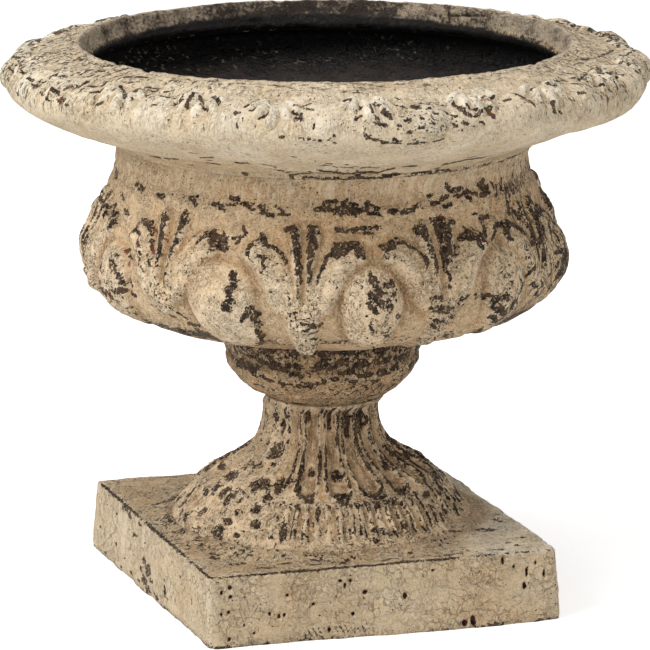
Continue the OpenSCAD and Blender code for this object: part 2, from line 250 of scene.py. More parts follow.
# worn strokes on the bowl: front angle and z at both ends, and half the width
BOWL_STROKES = [(-59.3, 269.5, -56.1, 267.7, 1.8), (-48.7, 267.2, -46.4, 267.2, 1.4), (-36.6, 269.1, -34.6, 265.8, 1.4), (-35.4, 270.3, -34.6, 270.9, 0.9), (-29.6, 267.4, -26.7, 267, 1.1),
                (-27.6, 265.5, -25.9, 264.5, 0.9), (-25.8, 267.8, -23.1, 268.1, 0.9), (-24.7, 271.7, -22.7, 271.5, 1.4), (-21.3, 269.5, -18.3, 269.2, 1.1), (-19.6, 267.5, -18.1, 266.6, 0.9),
                (-16.4, 268.7, -15.4, 266.9, 1.1), (-15.5, 264.7, -12.6, 263.5, 1.4), (-11.9, 268.8, -10.1, 266.2, 0.9), (-11.2, 264.8, -8.3, 264.6, 0.9), (-1.5, 267.5, 0.8, 268.4, 1.6),
                (0.8, 271.2, 1.7, 272.1, 1.1), (1.7, 268.4, 3, 266.5, 1.6), (3.5, 272.1, 4.1, 269.3, 1.1), (4.3, 267.8, 6.5, 268.8, 1.8), (5.7, 271.1, 6.6, 272.9, 1.1),
                (6.9, 267.3, 9.8, 267.5, 1.6), (3, 265.6, 5.6, 264.8, 0.9), (6.4, 264.5, 9.5, 264.9, 1.1), (3.6, 257.1, 9.4, 256.1, 1.1), (3.7, 255.7, 8.7, 254.9, 0.9),
                (-53, 251.4, -48.5, 251.5, 1.1), (-50.9, 249.3, -47.4, 248.6, 1.1), (-53, 245.6, -50.5, 242.7, 1.1), (-50.9, 239.7, -49.1, 236.5, 0.9), (-48.7, 233.8, -47.7, 229.3, 0.9),
                (-48.4, 247.3, -46.7, 244.1, 1.1), (-46.4, 241.4, -45.1, 237.1, 0.9), (-45.9, 233, -44.5, 227.6, 0.9), (-43, 254.9, -43.5, 250, 2), (-43.3, 249.1, -42.6, 239.9, 1.6),
                (-42.4, 239, -42.1, 234.4, 0.9), (-37.5, 260.3, -36.3, 255, 2), (-37.2, 253.8, -37.7, 249, 1.8), (-37.9, 248, -38.1, 241.7, 1.4), (-29.3, 250.3, -28, 251.5, 1.8),
                (-27.8, 249.7, -25, 247.5, 2.5), (-27.8, 245.6, -24.8, 243, 2.3), (-25.3, 252, -23.8, 243.2, 0.9), (-31.9, 244.1, -30.3, 248.2, 0.9), (-22.7, 249.2, -19.8, 251.2, 0.9),
                (-20.3, 255.7, -19.5, 252.2, 1.1), (-21.8, 246.3, -20.9, 248.3, 1.1), (-15.1, 251.9, -13.9, 247.5, 1.8), (-18.1, 244.2, -17.2, 245.7, 1.4), (-13.5, 246.6, -11.3, 245, 1.1),
                (-11.3, 245, -9.6, 242.4, 1.1), (-9.6, 241.9, -8.3, 237.9, 0.9), (-14.8, 240, -13.5, 239.3, 1.4), (-14.3, 237.4, -13.3, 233.8, 0.9), (-8.9, 256.1, -7.2, 258.1, 1.4),
                (-7.1, 254.4, -6.6, 249.9, 2), (-6.3, 249, -5.6, 241.8, 2), (-5.6, 240.9, -5.1, 234.5, 1.4), (-5.1, 233.6, -4.8, 225.9, 0.9), (-3.2, 258.3, -2.1, 256.4, 1.8),
                (-2.8, 253.7, -2.1, 246.4, 2.3), (-2.9, 245.5, -2.6, 239.1, 1.8), (-2.8, 238.2, -2.9, 232.7, 1.4), (-2.6, 231.8, -2.7, 225.1, 0.9), (8.5, 248, 5.2, 246.3, 1.8),
                (6, 244.5, 3.5, 241.5, 1.8), (3.6, 245.5, 1.1, 241, 1.1), (1.1, 239.2, 0.2, 234.6, 1.1), (-0.3, 232.8, -0.9, 227, 0.9), (-21.3, 229.6, -20.3, 225, 2),
                (-20.7, 224, -21.4, 219.9, 2), (-21.4, 217.9, -20.6, 214.1, 2), (-22.2, 211.6, -21, 210.4, 1.8), (-18.4, 205.1, -17.1, 208.5, 1.6), (-17, 210.6, -15.5, 205.6, 2),
                (-16, 203.3, -15.1, 198.8, 2), (-15.6, 197.5, -15.2, 190.8, 1.4), (-15.2, 190.8, -16.4, 183.6, 1.1), (-24.6, 191.1, -23.9, 190.2, 1.1), (-4.6, 203.6, -2, 202.5, 1.1),
                (-4.2, 200.6, 0.3, 202.1, 0.9), (-2.8, 197.8, -1.1, 198.3, 0.9), (-2.5, 193.9, -1.3, 193.1, 0.9), (-2.2, 187.8, -0.3, 188.9, 0.9), (-63.3, 220.1, -62.2, 217.5, 1.4),
                (-62.4, 208, -60, 207.1, 2), (-59.3, 224.1, -57.6, 223.5, 1.1), (-56.9, 222.2, -56.2, 218.5, 0.9), (-55.2, 216.9, -54, 213.4, 1.6), (-56.9, 208.8, -53.9, 209.2, 1.4),
                (-53.2, 214.8, -52.1, 212.2, 1.1), (-52.7, 207.2, -51.5, 206.6, 1.4), (-55.7, 232.2, -54.8, 233.2, 1.1), (-54.3, 229.4, -53, 228.4, 1.1), (-55, 198.8, -53.7, 198.4, 0.9),
                (-45.9, 202.7, -44.6, 202.4, 0.9), (-42.5, 198.8, -42, 198.1, 0.9), (-39.6, 198.9, -38.4, 198, 0.9), (-46.9, 189, -44.6, 188.6, 0.9), (-34.8, 195, -32.8, 193.6, 1.6),
                (-33.9, 190.9, -32.2, 187.5, 1.6), (-31.5, 189.1, -31.9, 180, 1.4), (-37, 201.6, -35.2, 197.7, 0.9), (-75.2, 248.7, -69, 253.5, 1.1), (-70.2, 250, -65.3, 250.2, 1.1),
                (-72.3, 247.4, -68.8, 246.6, 1.1), (-67.4, 260.3, -64.6, 258.5, 1.1), (-62.5, 253.4, -59.5, 251.7, 1.1), (-65.7, 244.1, -64, 244.1, 0.9), (-77.9, 238.1, -76.7, 240.8, 0.9),
                (2.2, 271.2, 3.9, 272, 1.6), (2.6, 267.8, 6, 267, 1.6), (6, 266.4, 8.9, 265.3, 1.8), (7.4, 271, 9.2, 269.9, 1.1), (10, 266.2, 11.8, 267.3, 1.6),
                (12.3, 269.7, 14.5, 267.6, 1.8), (12.6, 265, 14.8, 264.4, 1.4), (18.2, 265.3, 19.9, 266, 1.6), (21.1, 264.3, 24.5, 265.2, 1.4), (24.7, 267, 25.8, 266.5, 1.1),
                (29.6, 271.7, 30.7, 272.2, 1.1), (30.2, 267.8, 32.9, 268.1, 1.1), (34.1, 269.7, 35.5, 270.3, 1.4), (35.7, 277.2, 37, 273.8, 1.4), (34.1, 265, 35.8, 265.5, 1.4),
                (38.1, 273.1, 40.3, 273.9, 1.6), (38, 269.7, 40.1, 269.9, 1.1), (41.2, 271.1, 42.9, 272.1, 1.4), (41.4, 268.4, 42.9, 266.4, 1.4), (43.7, 270.9, 45.2, 268.6, 1.4),
                (47.3, 273.7, 49.6, 275.6, 1.6), (48.2, 270.5, 50.7, 271.6, 1.8), (47, 268, 50.5, 267.8, 1.4), (53.2, 273.7, 53, 268.9, 1.1), (55.2, 271, 53.5, 265.8, 0.9),
                (58.3, 273.9, 56.3, 267.7, 0.9), (58.3, 269.9, 58, 263.1, 0.9), (63.4, 269.9, 61.9, 263.5, 0.9), (68, 272.1, 64.9, 264.3, 0.9), (72.1, 271.4, 69.6, 264.4, 0.9),
                (3.6, 257.1, 7.1, 256.6, 0.9), (7.1, 256.3, 15.2, 257, 1.1), (7.9, 254.4, 12.9, 253.6, 0.9), (3.6, 247.7, 6.9, 248.1, 1.6), (6.8, 246.8, 9.6, 244.2, 1.6),
                (8.7, 242.5, 9.8, 239.7, 1.6), (3.1, 243.7, 6.8, 245.3, 1.4), (1.9, 241, 2.6, 242.8, 1.1), (15, 246, 17.2, 247, 1.6), (15.3, 243.6, 17, 244.3, 1.6),
                (18.1, 246.9, 21, 246.4, 0.9), (21, 245.9, 23.8, 242.2, 1.1), (23.8, 242.2, 25.6, 238.2, 1.1), (25.2, 238.2, 26, 234.4, 0.9), (24.2, 254.1, 25.4, 250.2, 1.8),
                (25.5, 251.1, 26.9, 247.1, 1.8), (26.9, 247.1, 27.4, 243.3, 1.6), (27.7, 243.2, 28.1, 238.1, 1.1), (28, 237.6, 28.4, 230.9, 0.9), (29.6, 258.6, 32.7, 258.8, 1.6),
                (30.3, 255.6, 32.6, 254.1, 1.8), (33.3, 255.8, 36, 256, 1.6), (30.4, 251.9, 31.3, 247.9, 2.3), (32, 249.6, 32.5, 245.8, 1.4), (30.8, 245.3, 30.9, 240.6, 1.4),
                (30.5, 239.8, 30.9, 235, 1.1), (30.6, 234.2, 30.7, 228.3, 0.9), (33.9, 241.7, 33.6, 237.1, 1.1), (34.7, 244.2, 34.8, 241.4, 1.1), (36.4, 245.2, 39, 244.8, 1.6),
                (38.6, 245.9, 41.4, 243.1, 1.8), (37.4, 248.1, 40.7, 248.1, 1.1), (40.6, 241.5, 41.7, 238.3, 1.4), (45, 255.2, 48.2, 255.1, 1.4), (45.6, 252.1, 45.9, 248.2, 1.6),
                (45, 247.6, 45.5, 244.6, 1.1), (39, 251.4, 39.4, 250.3, 1.1), (42.6, 258.8, 43.9, 257.7, 0.9), (49.3, 248.9, 53, 249.5, 1.4), (52.7, 248.6, 57.2, 245.8, 1.4),
                (49.5, 246.9, 47.6, 241.9, 1.1), (57.1, 245.5, 60.7, 241.4, 1.4), (58.5, 242.4, 61.1, 237.3, 1.1), (58.3, 259.1, 57.8, 253.4, 1.6), (59.5, 254.7, 61.4, 249.9, 1.1),
                (61, 249.1, 62.1, 244.7, 0.9), (71.7, 258.4, 73.3, 253.6, 0.9), (72.8, 252.8, 71.3, 246.5, 0.9), (62.1, 244.7, 63.7, 239.1, 0.9), (63.7, 239.1, 63.1, 232.4, 0.9),
                (69.6, 246.2, 68.5, 238.8, 0.9), (63.8, 231, 63.5, 224, 0.9), (61.3, 224.1, 59.8, 218.7, 0.9), (68.1, 238, 66.3, 227.7, 0.9), (67.4, 227.2, 65.9, 215.6, 0.9),
                (74.8, 237.7, 73.1, 228.3, 0.9), (82.8, 241.8, 83.8, 233, 0.9), (80.5, 233.7, 80.9, 225.1, 0.9), (71.9, 218.6, 81.9, 219.3, 1.1), (68.8, 209.8, 75.8, 212.2, 1.1),
                (59.6, 210.5, 63, 206.6, 0.9), (57.7, 215.7, 59.2, 219.1, 0.9), (11.2, 230.6, 12.3, 228.2, 1.1), (11.5, 226.4, 12.6, 224.3, 1.6), (12.2, 224.4, 13.3, 219.3, 2),
                (11, 219.6, 11.8, 216.5, 1.6), (12.6, 218.4, 13.3, 214.3, 1.8), (10.8, 214.7, 12.2, 211.4, 1.6), (13.3, 214.3, 14.5, 212.6, 1.1), (14.2, 224.1, 15.2, 224.9, 1.1),
                (16.2, 226.7, 16.7, 223.7, 1.1), (14.9, 214.5, 15.7, 213, 1.4), (16.5, 218.2, 17.3, 219.3, 1.1), (11.1, 204.1, 11.9, 200.5, 1.1), (13.7, 200.9, 14.6, 199.4, 0.9),
                (15.1, 197.6, 15.8, 196.3, 0.9), (17.4, 207.4, 18.3, 205.1, 1.1), (13.7, 182.4, 16.1, 179.3, 0.9), (39.3, 212.5, 39.8, 208.7, 0.9), (41.3, 211.1, 42.1, 208.6, 1.4),
                (43.1, 211, 44.4, 209.4, 1.4), (44.9, 210.2, 47.2, 209.8, 1.4), (44, 207.4, 45.2, 202.5, 1.8), (45.4, 204.7, 48.3, 199.9, 2), (45.2, 198, 48.3, 194.6, 1.8),
                (49.4, 206, 50.5, 207.6, 1.1), (51.3, 203, 53.8, 198.3, 1.1), (51.4, 211.5, 51.9, 214.3, 1.1), (25.5, 214.9, 29.4, 214.5, 0.9), (26, 209.2, 31.9, 207.4, 1.1),
                (27, 207.2, 31.1, 204.9, 1.1), (34.4, 212.2, 36.8, 212.9, 1.4), (33.6, 210.4, 34.3, 207, 0.9), (27.9, 201.4, 29.5, 199.7, 1.4), (32.4, 202.2, 33.6, 200.6, 0.9),
                (27.5, 198.1, 28.6, 195.4, 1.1), (34.8, 206.8, 36.2, 207.4, 0.9)]
# smaller scars on the leaves and the eggs of the other sides, as (front angle, z, half width, half length)
# rust-brown stains, in the same terms as the strokes
BOWL_RUST = [(-47.6, 248.4, -45.6, 246.5, 0.9), (-45.7, 239.2, -44.1, 234.4, 0.9), (-56.4, 232.1, -55.6, 230.5, 0.7), (-58.3, 221.1, -57.5, 218.6, 0.7), (-49.1, 231.3, -47.9, 226.2, 0.7),
             (-63.8, 213.8, -62.1, 211.3, 0.7), (-58.1, 206.6, -58.5, 202.6, 0.7), (-54.1, 225.1, -53.6, 223.4, 0.7), (-50.4, 239.9, -49.2, 237.1, 0.7), (-41.6, 243.6, -41.1, 241.9, 0.7)]
RIM_RUST = [(-53, 46.7, -52.2, 50, 0.8), (-52.4, 44.9, -51.3, 48.3, 0.8), (-56.7, 45.1, -55.9, 46.5, 0.8), (-63.3, 43.1, -61.9, 42.9, 0.6), (-71.1, 42.3, -68.8, 43.5, 0.8),
            (-79.8, 37.4, -75.6, 38.5, 0.6), (-24.8, 11.6, -23.4, 14.8, 0.8), (-55.7, 40.2, -54.5, 41.1, 0.6), (-53.8, 35.6, -52.4, 35.9, 0.6), (29, 35.7, 30.8, 39.3, 0.8),
            (36.7, 39.1, 37.8, 43, 0.8), (29.3, 43, 29.8, 46.9, 0.8), (27.4, 30.9, 28.5, 32.9, 0.6)]
_far2 = np.random.RandomState(14).uniform(0, 1, (70, 4))
SCARS = [(76 + 212 * a, 195 + 62 * b, 1.6 + 4 * c, 1.4 + 4.5 * d * d) for a, b, c, d in _far2]
_far = np.random.RandomState(3).uniform(0, 1, (34, 4))
WORN += [(82 + 206 * a, 267 + 7 * b, 3 + 6 * c, 2 + 2.6 * d) for a, b, c, d in _far]


def nearest(fa, centres):
    """Offset in degrees to the nearest centre, and which centre it is."""
    c = np.array(centres, float)
    d = (fa[..., None] - c + 180) % 360 - 180
    k = np.abs(d).argmin(-1)
    return np.take_along_axis(d, k[..., None], -1)[..., 0], k


def spots(fa, r, z, line, marks, rag=0.0):
    """Ragged spots given as (front angle, z, half width, half length) in mm: 1 inside, 0 outside, and their edges."""
    inside, ring = 0, 0
    for f0, z0, a, b in marks:
        k = np.argmin(np.abs(line[:, 1] - z0))
        r0 = float(line[k, 0])
        du = np.radians((fa - f0 + 180) % 360 - 180) * r0
        dv = np.hypot(z - float(line[k, 1]), r - r0)
        q = np.sqrt((du / a) ** 2 + (dv / b) ** 2) + rag
        inside = np.maximum(inside, step(1.42, 0.50, q))
        ring = np.maximum(ring, np.exp(-(((q - 1.25) / 0.22) ** 2)))
    return inside, ring


def joint_seen(fa, x, y):
    """How much of the dark joint between rim and neck shows at each front angle, 0 to 1."""
    return np.clip(0.06 + 0.80 * step(-15, -9, fa) * step(84, 70, fa) + 0.6 * noise(x, y, 0 * x, 13, 163) + 0.25 * noise(x, y, 0 * x, 4.5, 165), 0, 1)


def bowl_relief(r, z, s, th, x, y):
    zz = z + 0 * th
    fa = front_angle(th)
    de, ke = nearest(fa, EGGS)
    dp, kp = nearest(fa, PALMS)
    jit = _rs_table(12, 10)
    wob = noise(x, y, zz, 26, 3) * 1.1
    wob2 = noise(x, y, zz, 24, 9) * 1.1
    front = step(-75, -60, fa) * step(80, 66, fa)

    # height along the outline from the belly's widest line: up is positive
    outer = s < BOWL_OUTER_LEN
    v0 = float(np.interp(212.0, BOWL_Z[::-1], BOWL_S[::-1]))
    v = v0 - s

    # eggs
    size = 1 + 0.05 * jit[0][ke]
    vv = v + wob2 + 1.0 * jit[1][ke] + np.array(EGG_DROP, np.float32)[ke]
    du = np.radians(de) * r + wob * 0.8 - np.array(EGG_SWING, np.float32)[ke] * np.clip(-vv / 30, 0, 1.3)
    a = np.array(EGG_W, np.float32)[ke]
    b = np.where(vv > 0, 25.5, 39.0) * size
    keel = np.where(vv > 0, 1 + 0.10 * vv / 27, 1 + 0.13 * vv / 37)
    q_egg = np.sqrt((du / (a * keel)) ** 2 + (vv / b) ** 2)
    flank = step(30, 52, np.abs(fa))
    h_egg = 8.6 * dome(q_egg, 0.78) * (1 - (0.36 + 0.16 * step(55, 75, fa)) * flank * step(-6, -30, vv) * (ke != 9) - 0.16 * step(-45, -60, fa))

    # palmettes, drawn in mm at a radius of 150 and in height
    k150 = 150 * math.pi / 180
    u = dp * k150 * (1 + 0.04 * jit[2][kp]) + wob * 0.7 + 0.04 * (zz - 225) * jit[3][kp]
    w = zz - 225 + wob2 * 0.7 + 1.5 * jit[4][kp]
    H = np.zeros_like(u)
    body = np.full_like(u, 9.0)
    ridge = np.full_like(u, 9.0)
    uf = u / np.array(SPREAD, np.float32)[kp]
    for side in (-1, 1):
        f = [(side * 3.4, -8), (side * 4.2, 4), (side * 5.9, 17), (side * 8.2, 30)]
        qf = chain(uf, w, f, [3.0, 3.8, 4.9, 5.4])
        inner = [(side * 3.2, -6), (side * 3.9, 6), (side * 5.2, 18), (side * 7.4, 30)]
        qr = chain(uf, w, inner, [1.0, 1.8, 2.7, 3.4])
        brim = chain(uf, w, [(side * 10.4, 17), (side * 12.4, 27), (side * 10.2, 33.8), (side * 6.9, 35.0)], [0.8, 0.9, 1.0, 0.9])
        H = np.maximum(H, 3.7 * dome(qf, 0.9))
        body = np.minimum(body, qf)
        gap = 1.0 + 0.16 * jit[5 if side > 0 else 6][kp]
        ridge = np.minimum(ridge, np.minimum(qr * gap, brim * 1.15))
        lobe = [(side * 12.5, -12), (side * 16.5, -1), (side * 21.5, 9), (side * 28.5, 15.5), (side * 33.0, 15.5)]
        ql = chain(u, w, lobe, [6.5, 8.6, 9.2, 7.8, 5.6])
        top = [(side * 8.6, -1), (side * 11.5, 10), (side * 18.5, 19.5), (side * 27.5, 23.6), (side * 34.5, 20.5), (side * 36.6, 15.5)]
        qt = chain(u, w, top, [1.8, 2.4, 3.2, 3.8, 3.8, 3.0])
        web = chain(u, w, [(side * 4.0, -20), (side * 8.0, -6), (side * 12.0, 6)], [8.0, 8.5, 6.5])
        H = np.maximum(H, 3.4 * dome(web, 1.1))
        H = np.maximum(H, 4.3 * dome(ql, 1.0))
        H = np.maximum(H, 2.2 * dome(qt, 0.8) + 2.9 * dome(ql, 0.9))
        body = np.minimum(body, np.minimum(ql, qt))
        dark = [(side * 8.2, 1), (side * 11.4, 12), (side * 18.0, 21.6), (side * 27.5, 25.2), (side * 34.5, 22.0), (side * 35.5, 17)]
        qd = chain(u, w, dark, [0.8, 1.1, 1.5, 3.2, 4.4, 3.2])
        thin = np.array([0.9, 0.62, 0.9, 0.9, 1, 0.8, 1, 0.9, 0.7, 1] if side < 0 else [1.0, 1.1, 0.85, 1, 0.9, 1, 0.8, 1, 1, 0.9], np.float32)[kp]
        ridge = np.minimum(ridge, qd / thin)
    # stalk with three cross bands
    qs = chain(u, w, [(0, -14), (0.6, -24), (1.2, -38), (1.6, -43)], [11.5, 11.2, 9.2, 7.4])
    bands = 0.5 + 0.5 * np.cos((w + 16) / 8.2 * TAU)
    h_stalk = (4.0 + 1.8 * bands * step(-12, -18, w)) * dome(qs, 0.75) * (1 - np.array([0.95, 0, 0.45, 0.9, 0.3, 0.3, 0.3, 0.3, 0.3, 0.1], np.float32)[kp] * step(-16, -32, w))
    H = np.maximum(H, h_stalk)
    # a groove between the two middle leaves runs down into the stalk
    H = H - 1.8 * np.exp(-((u / 1.8) ** 2)) * step(-22, -8, w) * step(36, 30, w)
    # fine ribs along the leaves
    veins = np.cos(body * 9.0) * 0.16 * step(1.0, 0.8, body)
    # a round nub over each egg where two leaf tips meet
    qn = np.sqrt((np.radians(de) * 150 / 6.0) ** 2 + ((zz - 250) / 3.6) ** 2)
    H = np.maximum(H, 1.5 * dome(qn))

    orn = np.maximum(h_egg, H)
    valley = np.exp(-(((q_egg - 1.08) / 0.07) ** 2)) * 0.9 + np.exp(-(((body - 1.2) / 0.16) ** 2)) * 0.45
    neck = step(266, 273, zz)
    bead = 0.7 * np.exp(-(((zz - 266.5) / 5.0) ** 2)) * (1 + 0.9 * noise(x, y, zz, 14, 31))
    comb = noise(x * 2.6, y * 2.6, zz * 0.25, 7.0, 40) * 0.30 * neck
    crust = 0.34 * fractal(x, y, zz, 4.4, 2, 5) * (0.7 + 0.7 * step(1, 4, orn)) + 0.30 * noise(x, y, zz, 2.6, 6) * step(0.5, 4, orn)
    body_noise = 0.9 * noise(x, y, zz, 34, 1) + 0.6 * noise(x, y, zz, 11, 2) + crust
    patch, patch_rim = spots(fa + 0 * zz, r + 0 * th, zz, bowl_outer, WORN, 0.40 * noise(x, y, zz, 6.5, 48) + 0.34 * noise(x, y, zz, 2.8, 49))
    patch, patch_rim = patch * outer, patch_rim * outer
    h = orn * (1 + 0.06 * noise(x, y, zz, 16, 8)) + veins - valley * (orn < 2) + bead + comb + body_noise * (1 - 0.45 * neck)
    # small knocks on the proud parts
    nick = step(0.42, 0.72, noise(x, y, zz, 9, 77)) * step(2.0, 4.5, orn)
    h = h - 0.9 * nick
    h = h - 0.5 * patch + 0.35 * patch_rim
    # the belly's underside hangs a little lower on the right
    h = h + 2.4 * np.exp(-(((zz - 183) / 7.0) ** 2)) * step(26, 42, fa) * step(94, 74, fa)
    h = h + 3.4 * np.exp(-(((zz - 191) / 6.5) ** 2)) * step(64, 80, fa) * step(122, 102, fa)
    h = h + (3.2 * np.exp(-(((zz - 225) / 8.0) ** 2)) - 3.8 * np.exp(-(((zz - 189) / 8.0) ** 2))) * step(-68, -80, fa) * step(-122, -105, fa)
    h = h + 0.8 * np.exp(-(((zz - 184) / 6.0) ** 2)) * step(-30, -44, fa) * step(-82, -64, fa)
    h = h - 2.2 * np.exp(-(((zz - 266) / 4.5) ** 2)) * (step(60, 76, fa) * step(140, 120, fa) + step(-60, -76, fa) * step(-140, -120, fa))
    h = np.where(outer, h, 0.15 * noise(x, y, zz, 9, 4))
    edge = step(0, 5, s) * step(BOWL_OUTER_LEN, BOWL_OUTER_LEN - 4, s)
    h = h * np.where(outer, edge, 1)

    hb = blur(h, 4, 4)
    crest = (h - hb)
    hb2 = blur(h, 14, 14)
    crest2 = (h - hb2)
    low = fractal(x, y, zz, 22, 3, 60)
    mid = noise(x, y, zz, 9, 62)
    low2 = noise(x, y, zz, 55, 66)
    right = step(30, 66, fa) * step(180, 110, fa)
    left = step(-25, -60, fa) * step(-180, -120, fa)
    wear = 0.08 + 0.12 * np.clip(crest, -0.8, 1.0) + 0.014 * np.clip(crest2, -3, 4) + 0.12 * low + 0.19 * right
    wear += (0.56 - 0.16 * front) * dome(ridge, 0.5) * np.clip(0.90 + 0.7 * low + 0.6 * mid, 0.1, 1.2)
    # dark between the stalk's bands
    wear += 0.18 * (1 - bands) * dome(qs, 0.4) * step(-14, -19, w) * (0.7 + 0.9 * mid)
    # each egg is worn in its own way
    sx = np.array([2, 0.0, 3.0, -3.0, -3, 4, 0, -4, 3, 1], np.float32)[ke]
    sy = np.array([0, 0, 2.0, -11.0, -6, 4, -10, 0, -8, 2], np.float32)[ke]
    much = np.array([0.10, 0.0, 0.16, 0.14, 0.35, 0.25, 0.4, 0.3, 0.36, 0.3], np.float32)[ke]
    spot = np.exp(-(np.abs((du - sx) / 9.5) ** 2.4 + np.abs((vv - sy) / 15.0) ** 2.4))
    fleck = np.clip(0.8 + 1.3 * low + 0.5 * mid + 0.5 * noise(x, y, zz, 3.4, 94), 0.0, 1.4)
    wear += much * spot * step(1.0, 0.9, q_egg) * fleck
    wear += (ke == 2) * step(1.0, 0.8, q_egg) * (0.02 + 0.08 * step(-2, 10, du))
    # dark just off the right-hand edge of an egg
    wear += 0.20 * np.exp(-(((q_egg - 0.98) / 0.07) ** 2)) * step(6, 16, du) * (0.6 + 1.2 * low) * step(28, 40, fa) * step(-14, -4, vv)
    band = np.exp(-(np.abs((zz - 267.5 + 2.4 * low) / 6.0) ** 2.5))
    wear += 0.12 * band * (1 + noise(x, y, zz, 7, 91)) + 0.10 * right * np.exp(-(((zz - 270) / 9.0) ** 2))
    dash = np.exp(-(((zz - 255.2 + 0.08 * (fa - 8) - 0.5 * np.sin(fa * 1.3)) / 1.9) ** 2)) * step(2.2, 3.6, fa) * step(16.4, 15.0, fa)
    wear += 0.25 * dash
    wear += 0.40 * np.exp(-(((zz - 186.0) / 4.5) ** 2)) * step(6, 0, orn) * (0.8 + 1.1 * low)
    wear += 0.40 * np.exp(-(((zz - 183.0 + 3 * mid) / 4.0) ** 2)) * step(-8, -22, fa) * step(-95, -70, fa) * (0.9 + 0.8 * mid)
    wear += 0.14 * left * (0.5 + mid) * step(245, 225, zz)
    scar, scar_rim = spots(fa + 0 * zz, r + 0 * th, zz, bowl_outer, SCARS, 0.46 * noise(x, y, zz, 4.6, 148) + 0.34 * noise(x, y, zz, 2.2, 149))
    scar, scar_rim = scar * outer, scar_rim * outer
    drawn_here = step(-80, -73, fa) * step(81, 74, fa)
    rag = 0.45 * noise(x, y, zz, 3.6, 153) + 0.36 * noise(x, y, zz, 1.9, 154)
    z_to_v = lambda q: v0 - float(np.interp(q, BOWL_Z[::-1], BOWL_S[::-1]))
    drawn = strokes(fa, v, r, [(a1, z_to_v(z1), a2, z_to_v(z2), 1.18 * half) for a1, z1, a2, z2, half in BOWL_STROKES], rag) * outer
    wear = np.maximum(wear * (1 - 0.30 * np.maximum(patch_rim, scar_rim)), np.maximum(0.76 * patch, 0.72 * scar) * (1 - drawn_here))
    wear = np.maximum(wear, 0.86 * drawn)
    rust = strokes(fa, v, r, [(a1, z_to_v(z1), a2, z_to_v(z2), half) for a1, z1, a2, z2, half in BOWL_RUST], rag) * outer
    # thin links of wear between the patches round the foot of the neck
    chainline = np.exp(-(((zz - 268.0 - 2.0 * noise(x, y, zz * 0, 24, 92) - 1.4 * noise(x, y, zz * 0, 6, 93)) / 1.5) ** 2))
    wear = np.maximum(wear, (0.62 - 0.14 * drawn_here) * chainline * np.clip(0.45 + 1.2 * noise(x, y, zz * 0, 12, 95) + 0.5 * mid, 0, 1) * outer)
    # a dark line where the filler under the rim ends on the neck
    joint = joint_seen(fa, 128 * np.cos(th), 128 * np.sin(th))
    wear = np.maximum(wear, 0.66 * joint * step(284.7 - 0.9 * mid, 285.5 - 0.7 * mid, zz))
    wear = np.where(outer, wear + 0.34 * step(179, 173, zz) * (1 + mid), 0.2)
    grain = 0.24 + 0.42 * step(0.6, 2.6, orn) + 0.40 * right + 0.14 * left + 0.25 * low + 0.15 * spot * (much > 0.1) + 0.12 * band + 0.04 * (ke == 2) * (q_egg < 1)
    grain = grain + 0.30 * dome(qs, 0.5) - 0.10 * (q_egg < 1) * (ke == 0) - 0.16 * (q_egg < 1) * (ke == 1) - 0.10 * neck
    tone = 0.44 + 0.34 * step(0.5, 4.0, orn) + 0.22 * low2 + 0.18 * np.clip(crest, -1, 1) - 0.04 * neck
    # painted light: paler on the left and darker on the right, as the light falls from the left
    tone += 0.14 * left - 0.10 * right
    # painted shade: browner in the hollows, in a band at the neck's top under the rim, and on the belly's underside
    # above the collar
    shade_and_dirt = np.clip(0.132 * (hb2 - h), 0, 0.85) + 0.30 * np.exp(-(((zz - 287.0) / 2.0) ** 2))
    shade_and_dirt = shade_and_dirt + (0.28 * step(194, 178, zz) + 0.40 * step(181, 174, zz)) * outer
    return h, {"wear": np.clip(wear, 0, 0.78), "tone": np.clip(tone, 0, 1), "shade_and_dirt": np.clip(shade_and_dirt, 0, 1),
               "rust": rust, "flow": np.clip(0.85 * right, 0, 1) + 0 * zz, "comb": neck + 0 * th, "grain": np.clip(grain, 0, 1),
               "lean": 2.0 * outer * step(0, 8, s) * step(BOWL_OUTER_LEN, BOWL_OUTER_LEN - 22, s)}


def _rs_table(n, m, seed=5):
    """n tables of m values from -1 to 1, for small differences between repeats."""
    return np.random.RandomState(seed).uniform(-1, 1, (n, m)).astype(np.float32)


bowl_outer = smooth_line([(128.2, 286.2), (127.7, 281), (127.5, 276.5), (128.1, 272), (129.6, 268.5), (131.2, 264.5), (132.4, 260),
                          (135.0, 252), (138.6, 243), (142.2, 233), (144.6, 222), (145.2, 213), (143.2, 203.7), (138.2, 195.0),
                          (130.0, 187.9), (118.4, 181.3), (103.4, 175.8), (87.2, 172.0), (73, 170.6), (60, 170.1)], 0.95)
bowl_inner = straight_line([(60, 170.0), (40, 170), (40, 161), (7, 161), (7, 175), (18.5, 175), (18.5, 192), (102, 192), (106, 193.1),
                            (108.3, 196.6), (109, 203), (113.4, 279), (113.4, 291), (120.8, 291), (120.8, 286), (127.2, 286)], 6)
BOWL_S = np.r_[0, np.cumsum(np.linalg.norm(np.diff(bowl_outer, axis=0), axis=1))]
BOWL_Z = bowl_outer[:, 1]
BOWL_OUTER_LEN = float(BOWL_S[-1])
bowl_line = np.concatenate([bowl_outer, bowl_inner])[::-1]


def bowl_relief_rev(r, z, s, th, x, y):
    """The outline runs inner first, so the length is measured back from its end."""
    total = float(s[-1, 0])
    return bowl_relief(r, z, total - s, th, x, y)


# ------------------------------------------------------------------ rim
RIM_FANS = 20
FANS = [-39.2, -23.1, -9.0, 7.3, 27.7, 43.9, 62.0] + [62.0 + (320.8 - 62.0) / 14 * k for k in range(1, 14)]
OVALS = [(FANS[k] + (FANS[k + 1] if k < 19 else FANS[0] + 360)) / 2 for k in range(20)]
# how far along the rim's outline its filler reaches, by front angle
FILLER = ([-180, -120, -60, -42, -25, -18, -8, 1, 14, 31, 46, 53, 75, 120, 180], [117, 112, 110, 107, 108, 110, 120, 121.5, 128, 130.5, 118, 113, 112, 116, 117])


